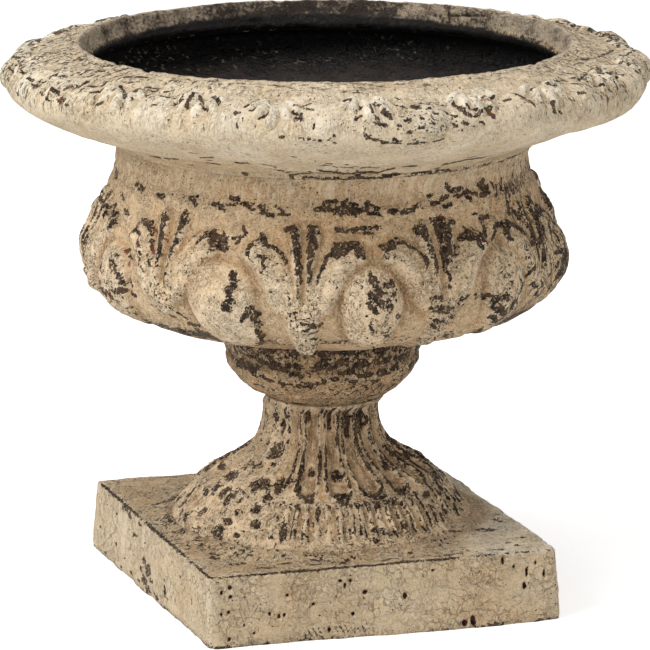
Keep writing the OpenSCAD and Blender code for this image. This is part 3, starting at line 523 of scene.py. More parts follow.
# worn strokes on the rim: front angle and v at both ends, and half the width
RIM_STROKES = [(-30.2, 30.7, -29, 27.5, 0.9), (-27.8, 39, -27.4, 36.8, 1), (-26.7, 38.6, -26.8, 29.8, 1), (-24.8, 38.9, -25.2, 26.7, 1.5), (-24, 26.1, -22, 37, 1.2),
               (-21.3, 39.1, -20.7, 41, 1.2), (-21.5, 25.5, -19, 34.3, 1.2), (-31, 42, -30.4, 41.5, 0.9), (-32.2, 24.4, -30.5, 21.4, 0.6), (-35.1, 25.7, -33.7, 24.1, 1),
               (-14.1, 36.4, -12.6, 27.3, 1.7), (-13.3, 39.5, -12.2, 37.3, 0.9), (-11.1, 44.7, -9.8, 41.7, 1.3), (-10, 39, -9.5, 37.5, 0.7), (-15.3, 43.6, -14.9, 42.3, 1.3),
               (-5.7, 38, -4.8, 40, 1), (-5, 43.6, -4.1, 44.3, 1.7), (-4.2, 40, -3.9, 45.5, 0.9), (-3.7, 30.5, -2.7, 30, 1.2), (-2.9, 35.7, -2.2, 38.2, 1),
               (-7.4, 55.2, -6.7, 54.7, 1), (-14.8, 48.9, -14.6, 50.8, 0.9), (-5.5, 34.9, -4, 32.1, 0.7), (-4.3, 55.1, -4, 55.3, 0.7), (-2.8, 55.5, -2.6, 55.7, 0.9),
               (-1, 56.5, -0.7, 56.7, 0.7), (0.7, 56.1, 0.9, 55.5, 0.7), (1.4, 53.6, 1.6, 54, 0.7), (-1.9, 55.8, -1.7, 56.1, 0.7), (-0.4, 52.8, -0.3, 53.1, 0.6),
               (3.4, 30, 4.6, 28.9, 0.9), (5.1, 44.8, 6.1, 41.3, 1), (6, 32.8, 6.5, 35, 0.9), (8, 35.2, 8.1, 41.5, 1), (8.9, 33.2, 9.6, 35.4, 1),
               (10.2, 39.2, 11.3, 44.7, 1.5), (8.4, 46.7, 10.1, 48.7, 1.3), (7.2, 55.8, 8.7, 56.8, 1), (9.2, 57.3, 10.1, 58.3, 0.9), (10.5, 58.4, 11, 58.9, 0.9),
               (11.5, 56.5, 12.6, 58, 1.2), (3.8, 13.4, 5, 13.9, 0.9), (5.6, 14.3, 7.4, 15.2, 0.9), (11.9, 30.1, 12.9, 32.5, 1.3), (13.7, 22.1, 14.2, 24.1, 0.9),
               (8.6, 43.2, 9, 45.2, 0.9), (24.7, 41.2, 25.6, 46, 1.5), (25.7, 38.9, 26.9, 42.3, 1.3), (23.7, 35.6, 24.1, 39.7, 1.8), (26.5, 45.9, 27.6, 44.2, 1.3),
               (28.5, 42.4, 29.9, 41.9, 1.3), (29.3, 43.9, 29.9, 47.3, 1.5), (29.3, 34.7, 31.9, 33.3, 0.9), (22.1, 43.8, 22.9, 45.2, 1.1), (36.8, 34.9, 37.8, 38.6, 1.8),
               (33.2, 38.5, 34.7, 38, 1.1), (38.4, 41.1, 38.5, 45.1, 2), (45.3, 30.4, 46.9, 33.4, 1.8), (41.1, 31.9, 42.4, 32.1, 1.1), (43.1, 44.7, 42.9, 49.6, 1.5),
               (43.9, 50, 44.5, 51.6, 0.9), (41.3, 39.4, 41.6, 40.7, 1.1), (36.4, 31.6, 37.3, 33, 0.9), (15.7, 34.1, 16.5, 39, 1.8), (13.7, 33.5, 14.4, 35.8, 1.1),
               (16.3, 33.5, 19.1, 33.8, 0.7), (19.9, 31.9, 21.5, 34.7, 0.7), (13.6, 46, 14.5, 45.5, 0.9), (16.2, 45.4, 16.8, 46.7, 0.9), (18.8, 43.4, 19.4, 44.6, 1.1),
               (20.9, 41.3, 21.5, 43.1, 1.1), (17.9, 48.7, 18.3, 49.4, 0.9), (19.5, 51.1, 20.2, 50.6, 0.9), (22, 50.2, 22.7, 50.8, 1.1), (23.9, 49.5, 24.6, 50.5, 1.1),
               (16, 51.3, 16.5, 51, 0.9), (14, 53, 14.6, 52.7, 0.9), (25, 52.4, 25.8, 52.1, 0.9), (27, 50, 27.6, 51, 0.9), (12.3, 48.8, 12.8, 49.2, 0.9),
               (17.8, 40.4, 18.5, 40.1, 0.9), (11.2, 58.7, 12.7, 59.6, 0.9), (14, 60.4, 17.4, 60.2, 0.7), (9.5, 58.4, 10.4, 59.1, 0.9), (18.6, 60, 20.4, 58.8, 0.7),
               (6.7, 54, 7.5, 54.9, 1.3), (51.9, 33.8, 53.4, 37.7, 1.3), (56.4, 28.9, 60, 31, 1.1), (54.4, 37.8, 55, 40.2, 1.3), (54.4, 43.9, 56.7, 47.4, 1.1),
               (54.4, 26.7, 56.4, 27, 0.9), (56.6, 18.9, 58.1, 21.9, 0.9), (49.2, 26, 52, 27, 0.7), (63.2, 24.4, 67.8, 26.6, 0.9), (62.7, 33.4, 65.9, 35.8, 1.1),
               (50.3, 42.2, 51.8, 43.8, 0.9), (47.6, 43.3, 48.7, 45.7, 0.9), (57.9, 39.4, 59.4, 41.8, 0.9), (77.8, 18.8, 89.9, 25.7, 0.9), (82.5, 30.1, 91.1, 39.6, 0.9),
               (71.5, 43.9, 73.1, 44.7, 1.1), (60.9, 44.2, 61.2, 47, 0.9), (73.4, 30.2, 78, 34, 0.7), (69.3, 11.8, 73.6, 15.9, 0.9), (63.6, 13.8, 67.6, 15.8, 0.7),
               (-56.6, 42.6, -54.5, 43.4, 1.3), (-53.6, 38.6, -52.9, 36.3, 1.1), (-51.1, 35.5, -51.3, 28.1, 1.3), (-48.1, 32.8, -47.5, 28, 1.3), (-46.3, 38.4, -44.6, 33.8, 1.3),
               (-47, 29.4, -46.8, 21.8, 1.1), (-48.2, 18, -47.2, 12.6, 1.1), (-43.1, 45.6, -42.2, 43.9, 1.1), (-53.8, 47.1, -51.9, 49.4, 0.9), (-53.1, 45.4, -51.2, 47.8, 0.9),
               (-66.4, 42.6, -64.4, 42.2, 1.1), (-70.5, 45, -68.8, 44, 0.9), (-82.4, 44.2, -78.1, 43.5, 0.9), (-74, 41.4, -72.3, 38.9, 1.1), (-63.8, 44.2, -62.6, 43.2, 0.9),
               (-62.2, 39.1, -60.9, 36.3, 1.1), (-62.5, 33.7, -61.1, 31.3, 1.1), (-59.3, 31.9, -58.2, 29, 1.1), (-61.5, 25.9, -60.6, 21.7, 1.1), (-56.7, 28.3, -56, 24.5, 1.1),
               (-56.7, 22.2, -57.2, 16.1, 1.1), (-54, 22.2, -53.6, 18.6, 1.1), (-55, 14.6, -53.4, 11.5, 1.1), (-56, 6.7, -54.2, 2.6, 0.9), (-50.2, 8.2, -49.1, 2.9, 1.1),
               (-44.9, 14.6, -44.2, 9.7, 1.1), (-42.3, 19.5, -41, 16.2, 1.1), (-43.1, 9.8, -40.6, 8.7, 1.1), (-37.1, 21, -34.4, 21.7, 1.1), (-31.6, 31.6, -30, 32.2, 0.9),
               (-38.1, 29.7, -36.6, 31.8, 1.1), (-40.5, 29.9, -38.1, 37.3, 1.1), (-43, 25.8, -40.4, 29.8, 0.9), (-33.3, 34.1, -32.6, 33, 0.9), (-29.7, 32, -28.3, 29.9, 0.9),
               (-86.4, 41.2, -83.6, 36.6, 0.9), (-87.8, 34.3, -85.4, 28.7, 0.9), (-76.1, 28.4, -74.6, 22.8, 0.9), (-81.2, 17.6, -81.7, 11.1, 0.9), (-88.5, 23.4, -89.1, 17, 0.9),
               (-70.2, 19.8, -68.6, 14.7, 0.9), (-68.4, 10.6, -66.6, 5.8, 0.9), (-79.5, 7.5, -78.1, 2.7, 0.7), (-78.1, 38.4, -76.9, 34.6, 0.9), (-80.4, 49.3, -76.8, 49.1, 0.7),
               (-60.1, 46.3, -58.5, 47.5, 0.7), (-68, 51, -66.5, 52.2, 0.7), (-57, 48.8, -55.8, 49.4, 0.7), (-50.6, 49.2, -49.3, 49.3, 0.7), (-13, 101.9, -11.2, 110.6, 1.2),
               (-11.2, 120.9, -10, 120.9, 0.7), (-9.2, 124.8, -3.5, 119.3, 0.7), (-9, 131.4, -3.8, 129.8, 0.7), (-3.7, 124.8, 3.7, 127.5, 0.7), (2.4, 121.8, 11.5, 126.6, 1.2),
               (15.1, 133, 19.6, 131.8, 1), (-18.7, 101.2, -16.4, 100.8, 1.5), (-35.3, 122.3, -34.6, 125, 0.7), (-28.1, 115.3, -25, 116, 0.7), (-25.4, 91.7, -22.1, 87.4, 0.7),
               (-24.9, 97.8, -23.9, 98.1, 0.7), (-25.8, 79.4, -24.2, 80.1, 0.7), (-40.6, 116.2, -35.8, 112.9, 0.7), (-46.1, 117.6, -42, 115.8, 0.7), (-21.7, 132.3, -20.6, 132.2, 0.9),
               (8.3, 109.5, 9.8, 108.7, 1), (6, 104.3, 6.9, 106.5, 0.7), (1.9, 106.9, 2.6, 108.2, 0.7), (10.9, 110.5, 12, 111.6, 0.9), (-0, 100.3, 0.6, 101, 0.7),
               (4.1, 96.8, 4.6, 97.5, 0.7), (-5.9, 76, -5.2, 77.7, 0.7), (-1.2, 116.7, 3.5, 120.3, 0.9), (2.1, 127.1, 8.9, 130.8, 0.9), (7.4, 119.4, 12.9, 122.6, 1.1),
               (12.5, 122.2, 15.9, 114.7, 0.9), (16.5, 124.7, 24.6, 133, 0.9), (23.3, 131.5, 28.5, 131.1, 0.9), (27.9, 122.5, 28.4, 122.5, 1.1), (28.2, 114.6, 32.9, 111.6, 0.9),
               (32.4, 110.3, 39.7, 111.9, 0.9), (39, 110.3, 43.2, 103.3, 0.7), (42.8, 102.8, 47, 101.4, 0.7), (-1.1, 102.1, 1.1, 103.8, 0.7), (3.2, 106.6, 6.3, 110.6, 0.7),
               (0.3, 95.1, 1.3, 96, 0.7), (31.3, 100.6, 33.7, 100.3, 0.7), (17.9, 112.6, 21.2, 113.3, 0.7)]
_far3 = np.random.RandomState(27).uniform(0, 1, (150, 5))
RIM_STROKES += [(92 + 176 * a, 18 + 36 * b, 92 + 176 * a + 2.4 * (c - 0.5), 18 + 36 * b + 2 + 6 * d, 0.7 + 0.9 * e) for a, b, c, d, e in _far3]


def strokes(fa, v, r, marks, rag, steep=None):
    """Short ragged strokes given by their two ends as front angle and v, and half the width in mm: 1 inside, 0 outside.
    Beyond the v called steep they are taller, two and a half times."""
    out = np.zeros(rag.shape, np.float32)
    angles, along, radius = np.ravel(fa), np.ravel(v), np.ravel(r)
    for a1, b1, a2, b2, half in marks:
        cols = np.flatnonzero(np.abs((angles - (a1 + a2) / 2 + 180) % 360 - 180) < abs(a2 - a1) / 2 + 2.2)
        flat = 0.4 if steep is not None and (b1 + b2) / 2 > steep else 1.0
        rows = np.flatnonzero(np.abs(along - (b1 + b2) / 2) < abs(b2 - b1) / 2 + 3 * half / flat)
        if len(rows) == 0:
            continue
        block = np.ix_(rows, cols)
        mm = radius[rows][:, None] * math.pi / 180
        p, q = ((angles[cols][None] - a1 + 180) % 360 - 180) * mm, along[rows][:, None] - b1
        du, dv = (a2 - a1) * mm, b2 - b1
        t = np.clip((p * du + q * dv) / (du ** 2 + dv ** 2 + 1e-6), 0, 1)
        d = np.hypot(p - t * du, (q - t * dv) * flat) / half + rag[block]
        out[block] = np.maximum(out[block], step(1.45, 0.5, d))
    return out


def rim_relief(r, z, s, th, x, y):
    zz = z + 0 * th
    fa = front_angle(th)
    jit = _rs_table(24, RIM_FANS, 21)
    df, kf = nearest(fa, FANS)
    do, ko = nearest(fa, OVALS)
    wob = noise(x, y, zz, 20, 13)
    wob2 = noise(x, y, zz, 18, 19)
    v = RIM_CREST_S - s  # from the lip's crest outwards over the shoulder
    k = math.pi / 180
    u = df * k * r * (1 + 0.08 * jit[0][kf]) + wob * 1.5 + 1.6 * jit[4][kf]
    w = v + wob2 * 1.6 + 2.6 * jit[1][kf]
    H = np.zeros_like(u)
    petal = np.full_like(u, 9.0)
    seam = np.full_like(u, 9.0)
    tips = np.zeros_like(u)
    n = 5
    for j in range(n):
        c = j - (n - 1) / 2
        # petals spread from a point under the crest, and the outer ones are shorter
        ang = 0.41 * c + 0.07 * jit[6 + j][kf]
        reach = 17.5 - 1.1 * abs(c) ** 1.4 + 1.4 * jit[11 + j][kf]
        al = u * np.sin(ang) + (w - 21) * np.cos(ang)
        ac = u * np.cos(ang) - (w - 21) * np.sin(ang)
        q = np.sqrt(((al - reach) / (10.5 - 0.8 * abs(c))) ** 2 + (ac / (3.8 - 0.15 * abs(c))) ** 2)
        H = np.maximum(H, 3.3 * dome(q, 0.70))
        petal = np.minimum(petal, q)
        tips = np.maximum(tips, np.exp(-(((q - 1.16) / 0.16) ** 2)) * step(reach + 1, reach + 6, al))
    for j in range(n + 1):
        c = j - n / 2
        ang = 0.41 * c + 0.07 * jit[(j + 3) % 24][kf]
        al = u * np.sin(ang) + (w - 21) * np.cos(ang)
        ac = u * np.cos(ang) - (w - 21) * np.sin(ang)
        end = np.clip(al - 19 - 3 * jit[16 + j][kf], 0, None)
        start = np.clip(9 + 4 * jit[(j * 3 + 5) % 24][kf] - al, 0, None)
        q = np.sqrt((ac / 1.05) ** 2 + (end / 2.5) ** 2 + (start / 2.5) ** 2)
        seam = np.minimum(seam, q)
    uo = do * k * r + wob * 1.4 + 1.0 * jit[5][ko]
    wo = v - 45.0 + wob2 * 1.4 + 1.6 * jit[2][ko]
    bo = np.where(wo < 0, 19.0, 15.0)
    qo = np.sqrt((uo / (14.5 * (1 + 0.06 * jit[3][ko]))) ** 2 + (wo / bo) ** 2)
    h_egg = (3.0 + 2.8 * step(50, 75, np.abs(fa))) * dome(qo, 1.1)
    arch = np.exp(-(((qo - 1.20) / 0.09) ** 2)) * step(6, -6, wo) * 0.6
    H = np.maximum(H, arch)
    orn = np.maximum(H, h_egg)
    fade = step(4, 14, v) * step(76, 64, v)
    orn = orn * fade
    left = step(-28, -60, fa) * step(-175, -140, fa)
    right = step(36, 62, fa) * step(178, 150, fa)
    back = step(100, 140, np.abs(fa))
    soft = 1 - 0.30 * left
    flute = 0.60 * noise(x * 2.0, y * 2.0, v * 0.30, 8.0, 17) * step(3, 9, v) * step(60, 40, v)
    lip = step(-14, -11, v) * step(3, -1, v)
    hollow = v < -13
    under = v > 66
    fine = 0.30 * fractal(x, y, zz, 4.4, 2, 5) + 0.22 * noise(x, y, zz, 2.4, 6) * step(66, 56, v)
    small = 0.85 * noise(x, y, zz, 40, 1) + 0.42 * noise(x, y, zz, 12, 2) + fine
    h = orn * soft * (1 + 0.10 * noise(x, y, zz, 13, 23)) + flute + small * np.where(under, 0.75, 1.0)
    chip = step(0.38, 0.75, noise(x, y, zz, 15, 29)) * np.exp(-(((v + 1.0) / 5.0) ** 2))
    h = h - 1.5 * chip
    h = h + lip * (0.6 * noise(x, y, zz * 0.6, 9, 33) + 0.25 * noise(x, y, zz, 4, 34))
    # a crack in the far side of the lip
    cr1 = np.exp(-(((fa - 147.5 - 0.10 * (v + 6)) / 0.42) ** 2)) * step(-13.5, -12, v) * step(1.5, -1, v)
    cr2 = np.exp(-(((v + 6.0 + 0.25 * (fa - 141)) / 0.9) ** 2)) * step(134, 136, fa) * step(148, 147, fa)
    crack = np.maximum(cr1, cr2)
    h = h - 1.3 * crack
    # the under face is cut back on the right and towards its root, and filler is smeared along it
    h = h + 1.8 * np.exp(-(((v - 68) / 8.0) ** 2)) * step(40, 58, fa) * step(120, 95, fa)
    h = h - 2.2 * step(30, 70, fa) * step(160, 120, fa) * step(67, 78, v) * step(132, 118, v) - 1.5 * np.exp(-(((v - 112) / 12.0) ** 2))
    line_v = np.interp(fa, FILLER[0], FILLER[1]) + 1.3 * noise(x, y, zz * 0, 11, 35) + 0.5 * noise(x, y, zz * 0, 4, 36)
    smear = step(line_v - 0.6, line_v + 0.6, v)
    h = h - 0.9 * smear * step(135, 131, v) * (1 + 0.5 * noise(x, y, zz, 12, 37))
    rough = 1.5 * fractal(x, y, zz, 20, 3, 41) + 0.6 * noise(x, y, zz, 5, 42)
    h = np.where(hollow, rough * step(-13, -20, v), h)
    h = h * np.where(v > 100, step(135.0, 132.5, v), 1)

    hb, hb2 = blur(h, 3, 3), blur(h, 12, 10)
    crest = h - hb
    low = fractal(x, y, zz, 26, 3, 60)
    mid_n = noise(x, y, zz, 10, 61)
    top = step(0, 5, v) * step(62, 50, v)
    dash_n = noise(x, y, zz, 4.6, 67)
    hand = step(-94, -86, fa) * step(94, 86, fa)
    wear = 0.05 + 0.08 * low + 0.12 * np.clip(crest, -0.8, 0.8) * top + 0.08 * top * step(46, 32, v)
    wear += 0.56 * dome(seam, 0.4) * fade * np.clip(0.75 + 0.7 * mid_n + 0.9 * dash_n, 0.0, 1.2) * (1 - 0.60 * hand)
    wear += 0.56 * tips * fade * np.clip(0.6 + 1.3 * dash_n + 0.4 * mid_n, 0, 1.1) * (1 - 0.35 * hand)
    wear += top * (0.06 * left + 0.09 * right + 0.08 * back) * (1 + 0.8 * low) + 0.03 * top * step(26, 14, v)
    wear -= 0.10 * step(1.0, 0.6, qo) * fade * (1 - 0.4 * right - 0.5 * left)
    speckled = step(1.5, 0.9, qo + 0.3 * wob) * ((ko == 3) | (ko == 8) | (ko == 13) | (ko == 17)) * step(84, 70, v) * step(22, 30, v)
    # short dashes along the lower edge of an oval
    wear += 0.40 * np.exp(-(((qo - 1.10) / 0.12) ** 2)) * step(4, 12, wo) * ((ko == 2) | (ko == 3) | (ko == 9) | (ko == 14)) * np.clip(0.3 + 1.4 * dash_n, 0, 1)
    wear += 0.12 * np.exp(-(((v - 2.0) / 2.4) ** 2)) * (0.8 + low)
    seen_line = np.clip(0.30 + 0.9 * step(-16, -8, fa) * step(75, 60, fa) + 0.5 * noise(x, y, zz * 0, 14, 63) + 0.3 * noise(x, y, zz * 0, 4, 65), 0, 1.15)
    wear += 1.0 * np.exp(-(((v - line_v - 0.2) / (1.25 + 0.5 * np.clip(noise(x, y, zz * 0, 16, 68), -0.5, 1))) ** 2)) * seen_line
    wear += 0.34 * np.exp(-(((v - line_v + 6) / 2.6) ** 2)) * np.clip(-0.1 + 1.5 * noise(x, y, zz * 0.3, 9, 64), 0, 1)
    rag = 0.50 * noise(x, y, zz, 3.6, 151) + 0.30 * noise(x, y, zz, 1.9, 152)
    drawn = strokes(fa, v, r, RIM_STROKES, rag, 85)
    wear = np.maximum(wear, 0.88 * drawn)
    rust = strokes(fa, v, r, RIM_RUST, rag)
    wear = np.maximum(wear, 0.62 * joint_seen(fa, 128 * np.cos(th), 128 * np.sin(th)) * step(132.4 + 1.2 * mid_n, 133.6 + 1.2 * mid_n, v))
    wear = np.where(v <= 0, 0.14 + 0.24 * low + 0.30 * np.exp(-(((v + 14.5) / 1.6) ** 2)), wear)
    wear = wear + 0.7 * crack
    grain = 0.20 + top * (0.26 + 0.30 * low + 0.26 * left + 0.26 * right + 0.16 * step(1.6, 1.0, petal) * fade) + 0.10 * speckled
    grain = np.where(under, 0.16 + 0.12 * low + 0.14 * right, grain)
    grain = np.where(v <= 0, 0.45 + 0.3 * low, grain)
    tone = 0.84 + 0.22 * low + 0.50 * step(1.0, 0.5, petal) * fade + 0.16 * step(0.9, 0.5, qo) * fade + 0.20 * np.clip(crest, -1, 1)
    # painted shade: darker on the underside and on the right of the top, where less light falls; also darker near the
    # crest and on the filler smeared under the rim
    tone = tone - 0.14 * top * step(20, 8, v) - 0.14 * step(80, 104, v) - 0.12 * right * top - 0.30 * smear * (v > 90)
    tone = np.where(v <= 0, 0.22 + 0.25 * low, tone)
    # painted shade, with some dirt: browner in the top's hollows and down the lip into the mouth; the filler smear on
    # the underside is browner too
    shade_and_dirt = np.clip(0.16 * (hb2 - h), 0, 0.7) * top + 0.20 * step(-2, -13, v) + 0.12 * smear * (v > 90)
    # darker over the lip's inner face, most at the back and lower down into the mouth
    lip_darkening = np.where(v <= -0.5, 0.17 + 0.44 * np.exp(-((((fa - 185 + 180) % 360 - 180) / 52) ** 2)) + 0.35 * low + 0.2 * step(-11, -14, v), 0)
    flow = step(5, 10, v) * step(62, 52, v) * (1 - step(0.3, 0.6, speckled)) * (1 - 0.55 * step(1.5, 1.1, petal) * fade)
    # the black coat reaches higher up the lip at the back
    reach = 5.5 * np.exp(-((((fa - 192 + 180) % 360 - 180) / 50) ** 2))
    black = step(-14.8, -16.2, v + 0.9 * mid_n - reach + 0.8 * low)
    return h, {"wear": np.clip(wear, 0, 0.86), "tone": np.clip(tone, 0, 1.4), "shade_and_dirt": np.clip(shade_and_dirt, 0, 1), "flow": flow, "comb": speckled + 0 * z, "rust": rust,
               "dashes": top * np.clip(0.9 * left + 0.9 * step(-12, -40, fa) * step(-70, -50, fa) * step(50, 38, v) + 1.0 * right + 0.35 * step(38, 22, v) * (0.8 + low) + 0.9 * back, 0, 1), "black": black, "ring": step(19, 7, v) * step(-15, -12, v) + 0 * th, "lip": lip + 0 * th, "grain": np.clip(grain, 0, 1), "lip_darkening": np.clip(lip_darkening, 0, 0.9)}


rim_under = smooth_line([(128.9, 285.4), (130.4, 286.4), (133.6, 288.4), (142.4, 291.2), (156.0, 297.4), (169.8, 303.6), (182.8, 309.6), (192.8, 315.6), (197.4, 321.6),
                         (197.8, 327), (195.4, 332.2), (189.6, 336.4), (181.6, 339.8), (173, 342.6), (164, 344.9), (157.4, 346.8),
                         (153.0, 348.0), (150.6, 347.2), (149.4, 344.6), (148.2, 340.8), (146.6, 336.6), (145.8, 333.4), (147.4, 330.6)], 0.95)
rim_hollow = smooth_line([(147.4, 330.6), (152, 330.2), (160, 329.6), (168, 327), (171.6, 321.6), (168, 316), (158, 309.8),
                          (140, 301.8), (123.4, 294.6)], 2.6)[1:]
rim_close = straight_line([(121.5, 292.2), (121.5, 287.6), (128.3, 287.6), (128.6, 286.0)], 4)
rim_line = np.concatenate([rim_under, rim_hollow, rim_close])
_rs_ = np.r_[0, np.cumsum(np.linalg.norm(np.diff(rim_line, axis=0), axis=1))]
RIM_CREST_S = float(_rs_[int(rim_line[:, 1].argmax())])


# ------------------------------------------------------------------ collar
COLLAR_WORN = [(-28.6, 153.7, 14.2, 3.3), (-47.6, 149.9, 9.3, 3.3), (0.4, 155.0, 9.4, 4.3), (11.9, 157.5, 6.4, 2.9), (24.1, 154.7, 11.4, 3.8), (37.6, 155.0, 6.6, 3.3),
               (54.5, 155.0, 9.0, 3.3), (-59.2, 150.7, 6.1, 4.3), (14.0, 150.2, 6.4, 2.4), (26.7, 147.8, 5.8, 1.9), (-7.6, 143.3, 9.5, 1.9), (-34.4, 144.5, 4.5, 2.4),
               (-43.3, 145.2, 2.9, 1.9), (-24.5, 142.4, 8.0, 1.4), (-11.8, 142.3, 5.5, 2.4), (0.4, 145.0, 2.5, 2.9), (-44.1, 138.0, 5.8, 1.4), (8.2, 147.1, 3.2, 2.4),
               (38.3, 148.3, 6.6, 2.9), (48.9, 149.7, 4.4, 3.3), (18.6, 144.2, 4.4, 1.4), (-46.8, 157.2, 13.7, 1.2), (-70.5, 153.4, 4.8, 3.8), (64.8, 147.2, 4.9, 3.8),
               (32.4, 142.5, 4.9, 1.9), (-15.3, 149.0, 4.3, 1.9), (-14.0, 154.4, 5.0, 2.6)]
COLLAR_WORN += [(76 + 206 * a, 141 + 20 * b, 3 + 6 * c, 1.6 + 2.6 * d) for a, b, c, d in np.random.RandomState(8).uniform(0, 1, (30, 4))]


def collar_relief(r, z, s, th, x, y):
    zz = z + 0 * th
    fa = front_angle(th)
    outer = s < COLLAR_LEN
    h = 1.0 * noise(x, y, zz, 20, 1) + 0.7 * noise(x, y, zz, 8, 2) + 0.34 * fractal(x, y, zz, 3.4, 2, 5)
    h = h + 0.9 * np.exp(-(((zz - 160) / 3.6) ** 2)) - 0.9 * np.exp(-(((zz - 152.0) / 1.8) ** 2)) + 0.8 * np.exp(-(((zz - 146.5) / 3.0) ** 2))
    pits = step(0.20, 0.5, noise(x, y, zz, 6.0, 12)) * 0.8 * step(170, 160, zz) * step(138, 146, zz)
    h = h - pits
    h = h * np.where(outer, step(0, 3, s) * step(COLLAR_LEN, COLLAR_LEN - 3, s), 0.1)
    hb = blur(h, 4, 4)
    low = fractal(x, y, zz, 15, 3, 60)
    mid = noise(x, y, zz, 6, 62)
    wear = 0.31 + 0.12 * np.clip(h - hb, -0.6, 0.8) + 0.22 * low + 0.08 * step(-5, 25, fa)
    wear += 0.22 * np.exp(-(np.abs((zz - 157.0) / 6.0) ** 2.4)) * np.clip(0.9 + 0.9 * noise(x, y, zz, 11, 64) + 0.4 * mid, 0.1, 1.4)
    wear += 0.34 * np.exp(-(((zz - 164.5) / 2.6) ** 2)) * (0.8 + 0.8 * mid)
    patch, patch_rim = spots(fa + 0 * zz, r + 0 * th, zz, collar_outer, COLLAR_WORN, 0.55 * noise(x, y, zz, 5.0, 48) + 0.42 * noise(x, y, zz, 2.4, 49))
    wear = np.maximum(wear * (1 - 0.3 * patch_rim), 0.82 * patch)
    tone = 0.18 + 0.3 * low + 0.25 * np.clip(h - hb, -1, 1)
    # painted shade, with some dirt: browner overall and in the hollows, more over the upper half, most at the top under
    # the bowl and at the bottom where it turns under
    shade_and_dirt = 0.12 + np.clip(0.5 * (hb - h), 0, 0.7) + 0.22 * step(146, 154, zz) + 0.34 * step(162, 168, zz) + 0.25 * step(133, 126, zz)
    grain = 0.50 + 0.3 * low + 0 * zz
    none = 0 * zz
    return h, {"lean": 1.5 * outer * step(0, 6, s) * step(COLLAR_LEN, COLLAR_LEN - 6, s), "wear": np.clip(wear, 0, 0.86), "tone": np.clip(tone, 0, 1), "shade_and_dirt": np.clip(shade_and_dirt, 0, 1), "flow": none, "comb": none,
               "grain": np.clip(grain, 0, 1)}


collar_outer = smooth_line([(38.6, 125.2), (42.6, 127.6), (48.8, 131.6), (55.2, 137.2), (59.0, 143.6), (60.8, 150), (61.4, 156),
                            (62.0, 161), (61.6, 165.4), (59, 168.3)], 0.8)
collar_inner = straight_line([(56, 168.5), (40.6, 168.5), (40.6, 158.5), (7, 158.5), (7, 117), (22, 117), (22, 125), (38, 125)], 5)
COLLAR_LEN = float(np.cumsum(np.linalg.norm(np.diff(collar_outer, axis=0), axis=1))[-1])
collar_line = np.concatenate([collar_outer, collar_inner])


# ------------------------------------------------------------------ fluted foot
FLUTES = 20


FOOT_SPOTS = [(-63.3, 78.4, 9.0, 4.2), (-86.1, 78.3, 7.5, 2.5), (-41.6, 92.9, 6.0, 5.4), (-35.2, 77.5, 7.3, 6.0), (-24.4, 80.0, 3.4, 6.3), (-26.9, 72.1, 4.2, 2.1),
              (-54.0, 70.3, 3.6, 4.4), (-48.0, 68.6, 3.0, 4.6), (-40.3, 69.0, 2.5, 2.1), (-30.1, 66.1, 4.0, 3.5), (-28.1, 59.1, 3.9, 3.2), (-42.3, 56.7, 5.4, 2.1),
              (-15.4, 55.9, 2.6, 6.0), (-5.9, 86.3, 2.5, 3.9), (11.3, 84.8, 3.8, 5.3), (9.7, 115.6, 1.6, 8.2), (27.8, 113.3, 2.1, 10.3), (46.9, 111.8, 2.8, 7.5),
              (-13.4, 116.5, 1.6, 5.0), (-40.7, 109.0, 2.2, 5.0), (11.3, 74.9, 6.4, 3.0), (31.0, 72.1, 5.1, 1.8), (48.4, 73.1, 4.7, 2.6), (-5.3, 73.7, 3.1, 4.6),
              (-1.0, 65.5, 1.6, 6.0), (-12.7, 78.5, 1.9, 3.5), (52.9, 84.5, 3.4, 6.0), (86.3, 83.3, 6.0, 3.5), (59.5, 67.1, 4.0, 2.4), (-80.6, 61.9, 3.6, 4.2),
              (-77.7, 54.8, 3.6, 3.5), (-58.5, 58.8, 3.2, 2.6), (-35.4, 51.1, 2.3, 1.8), (-66, 66, 2.6, 2.2), (95, 70, 4, 3), (140, 75, 4.4, 3.4), (-140, 72, 5, 4),
              (175, 62, 4, 3), (112, 60, 3, 3), (-115, 66, 5, 4), (-165, 82, 4, 5), (155, 90, 3, 6)]


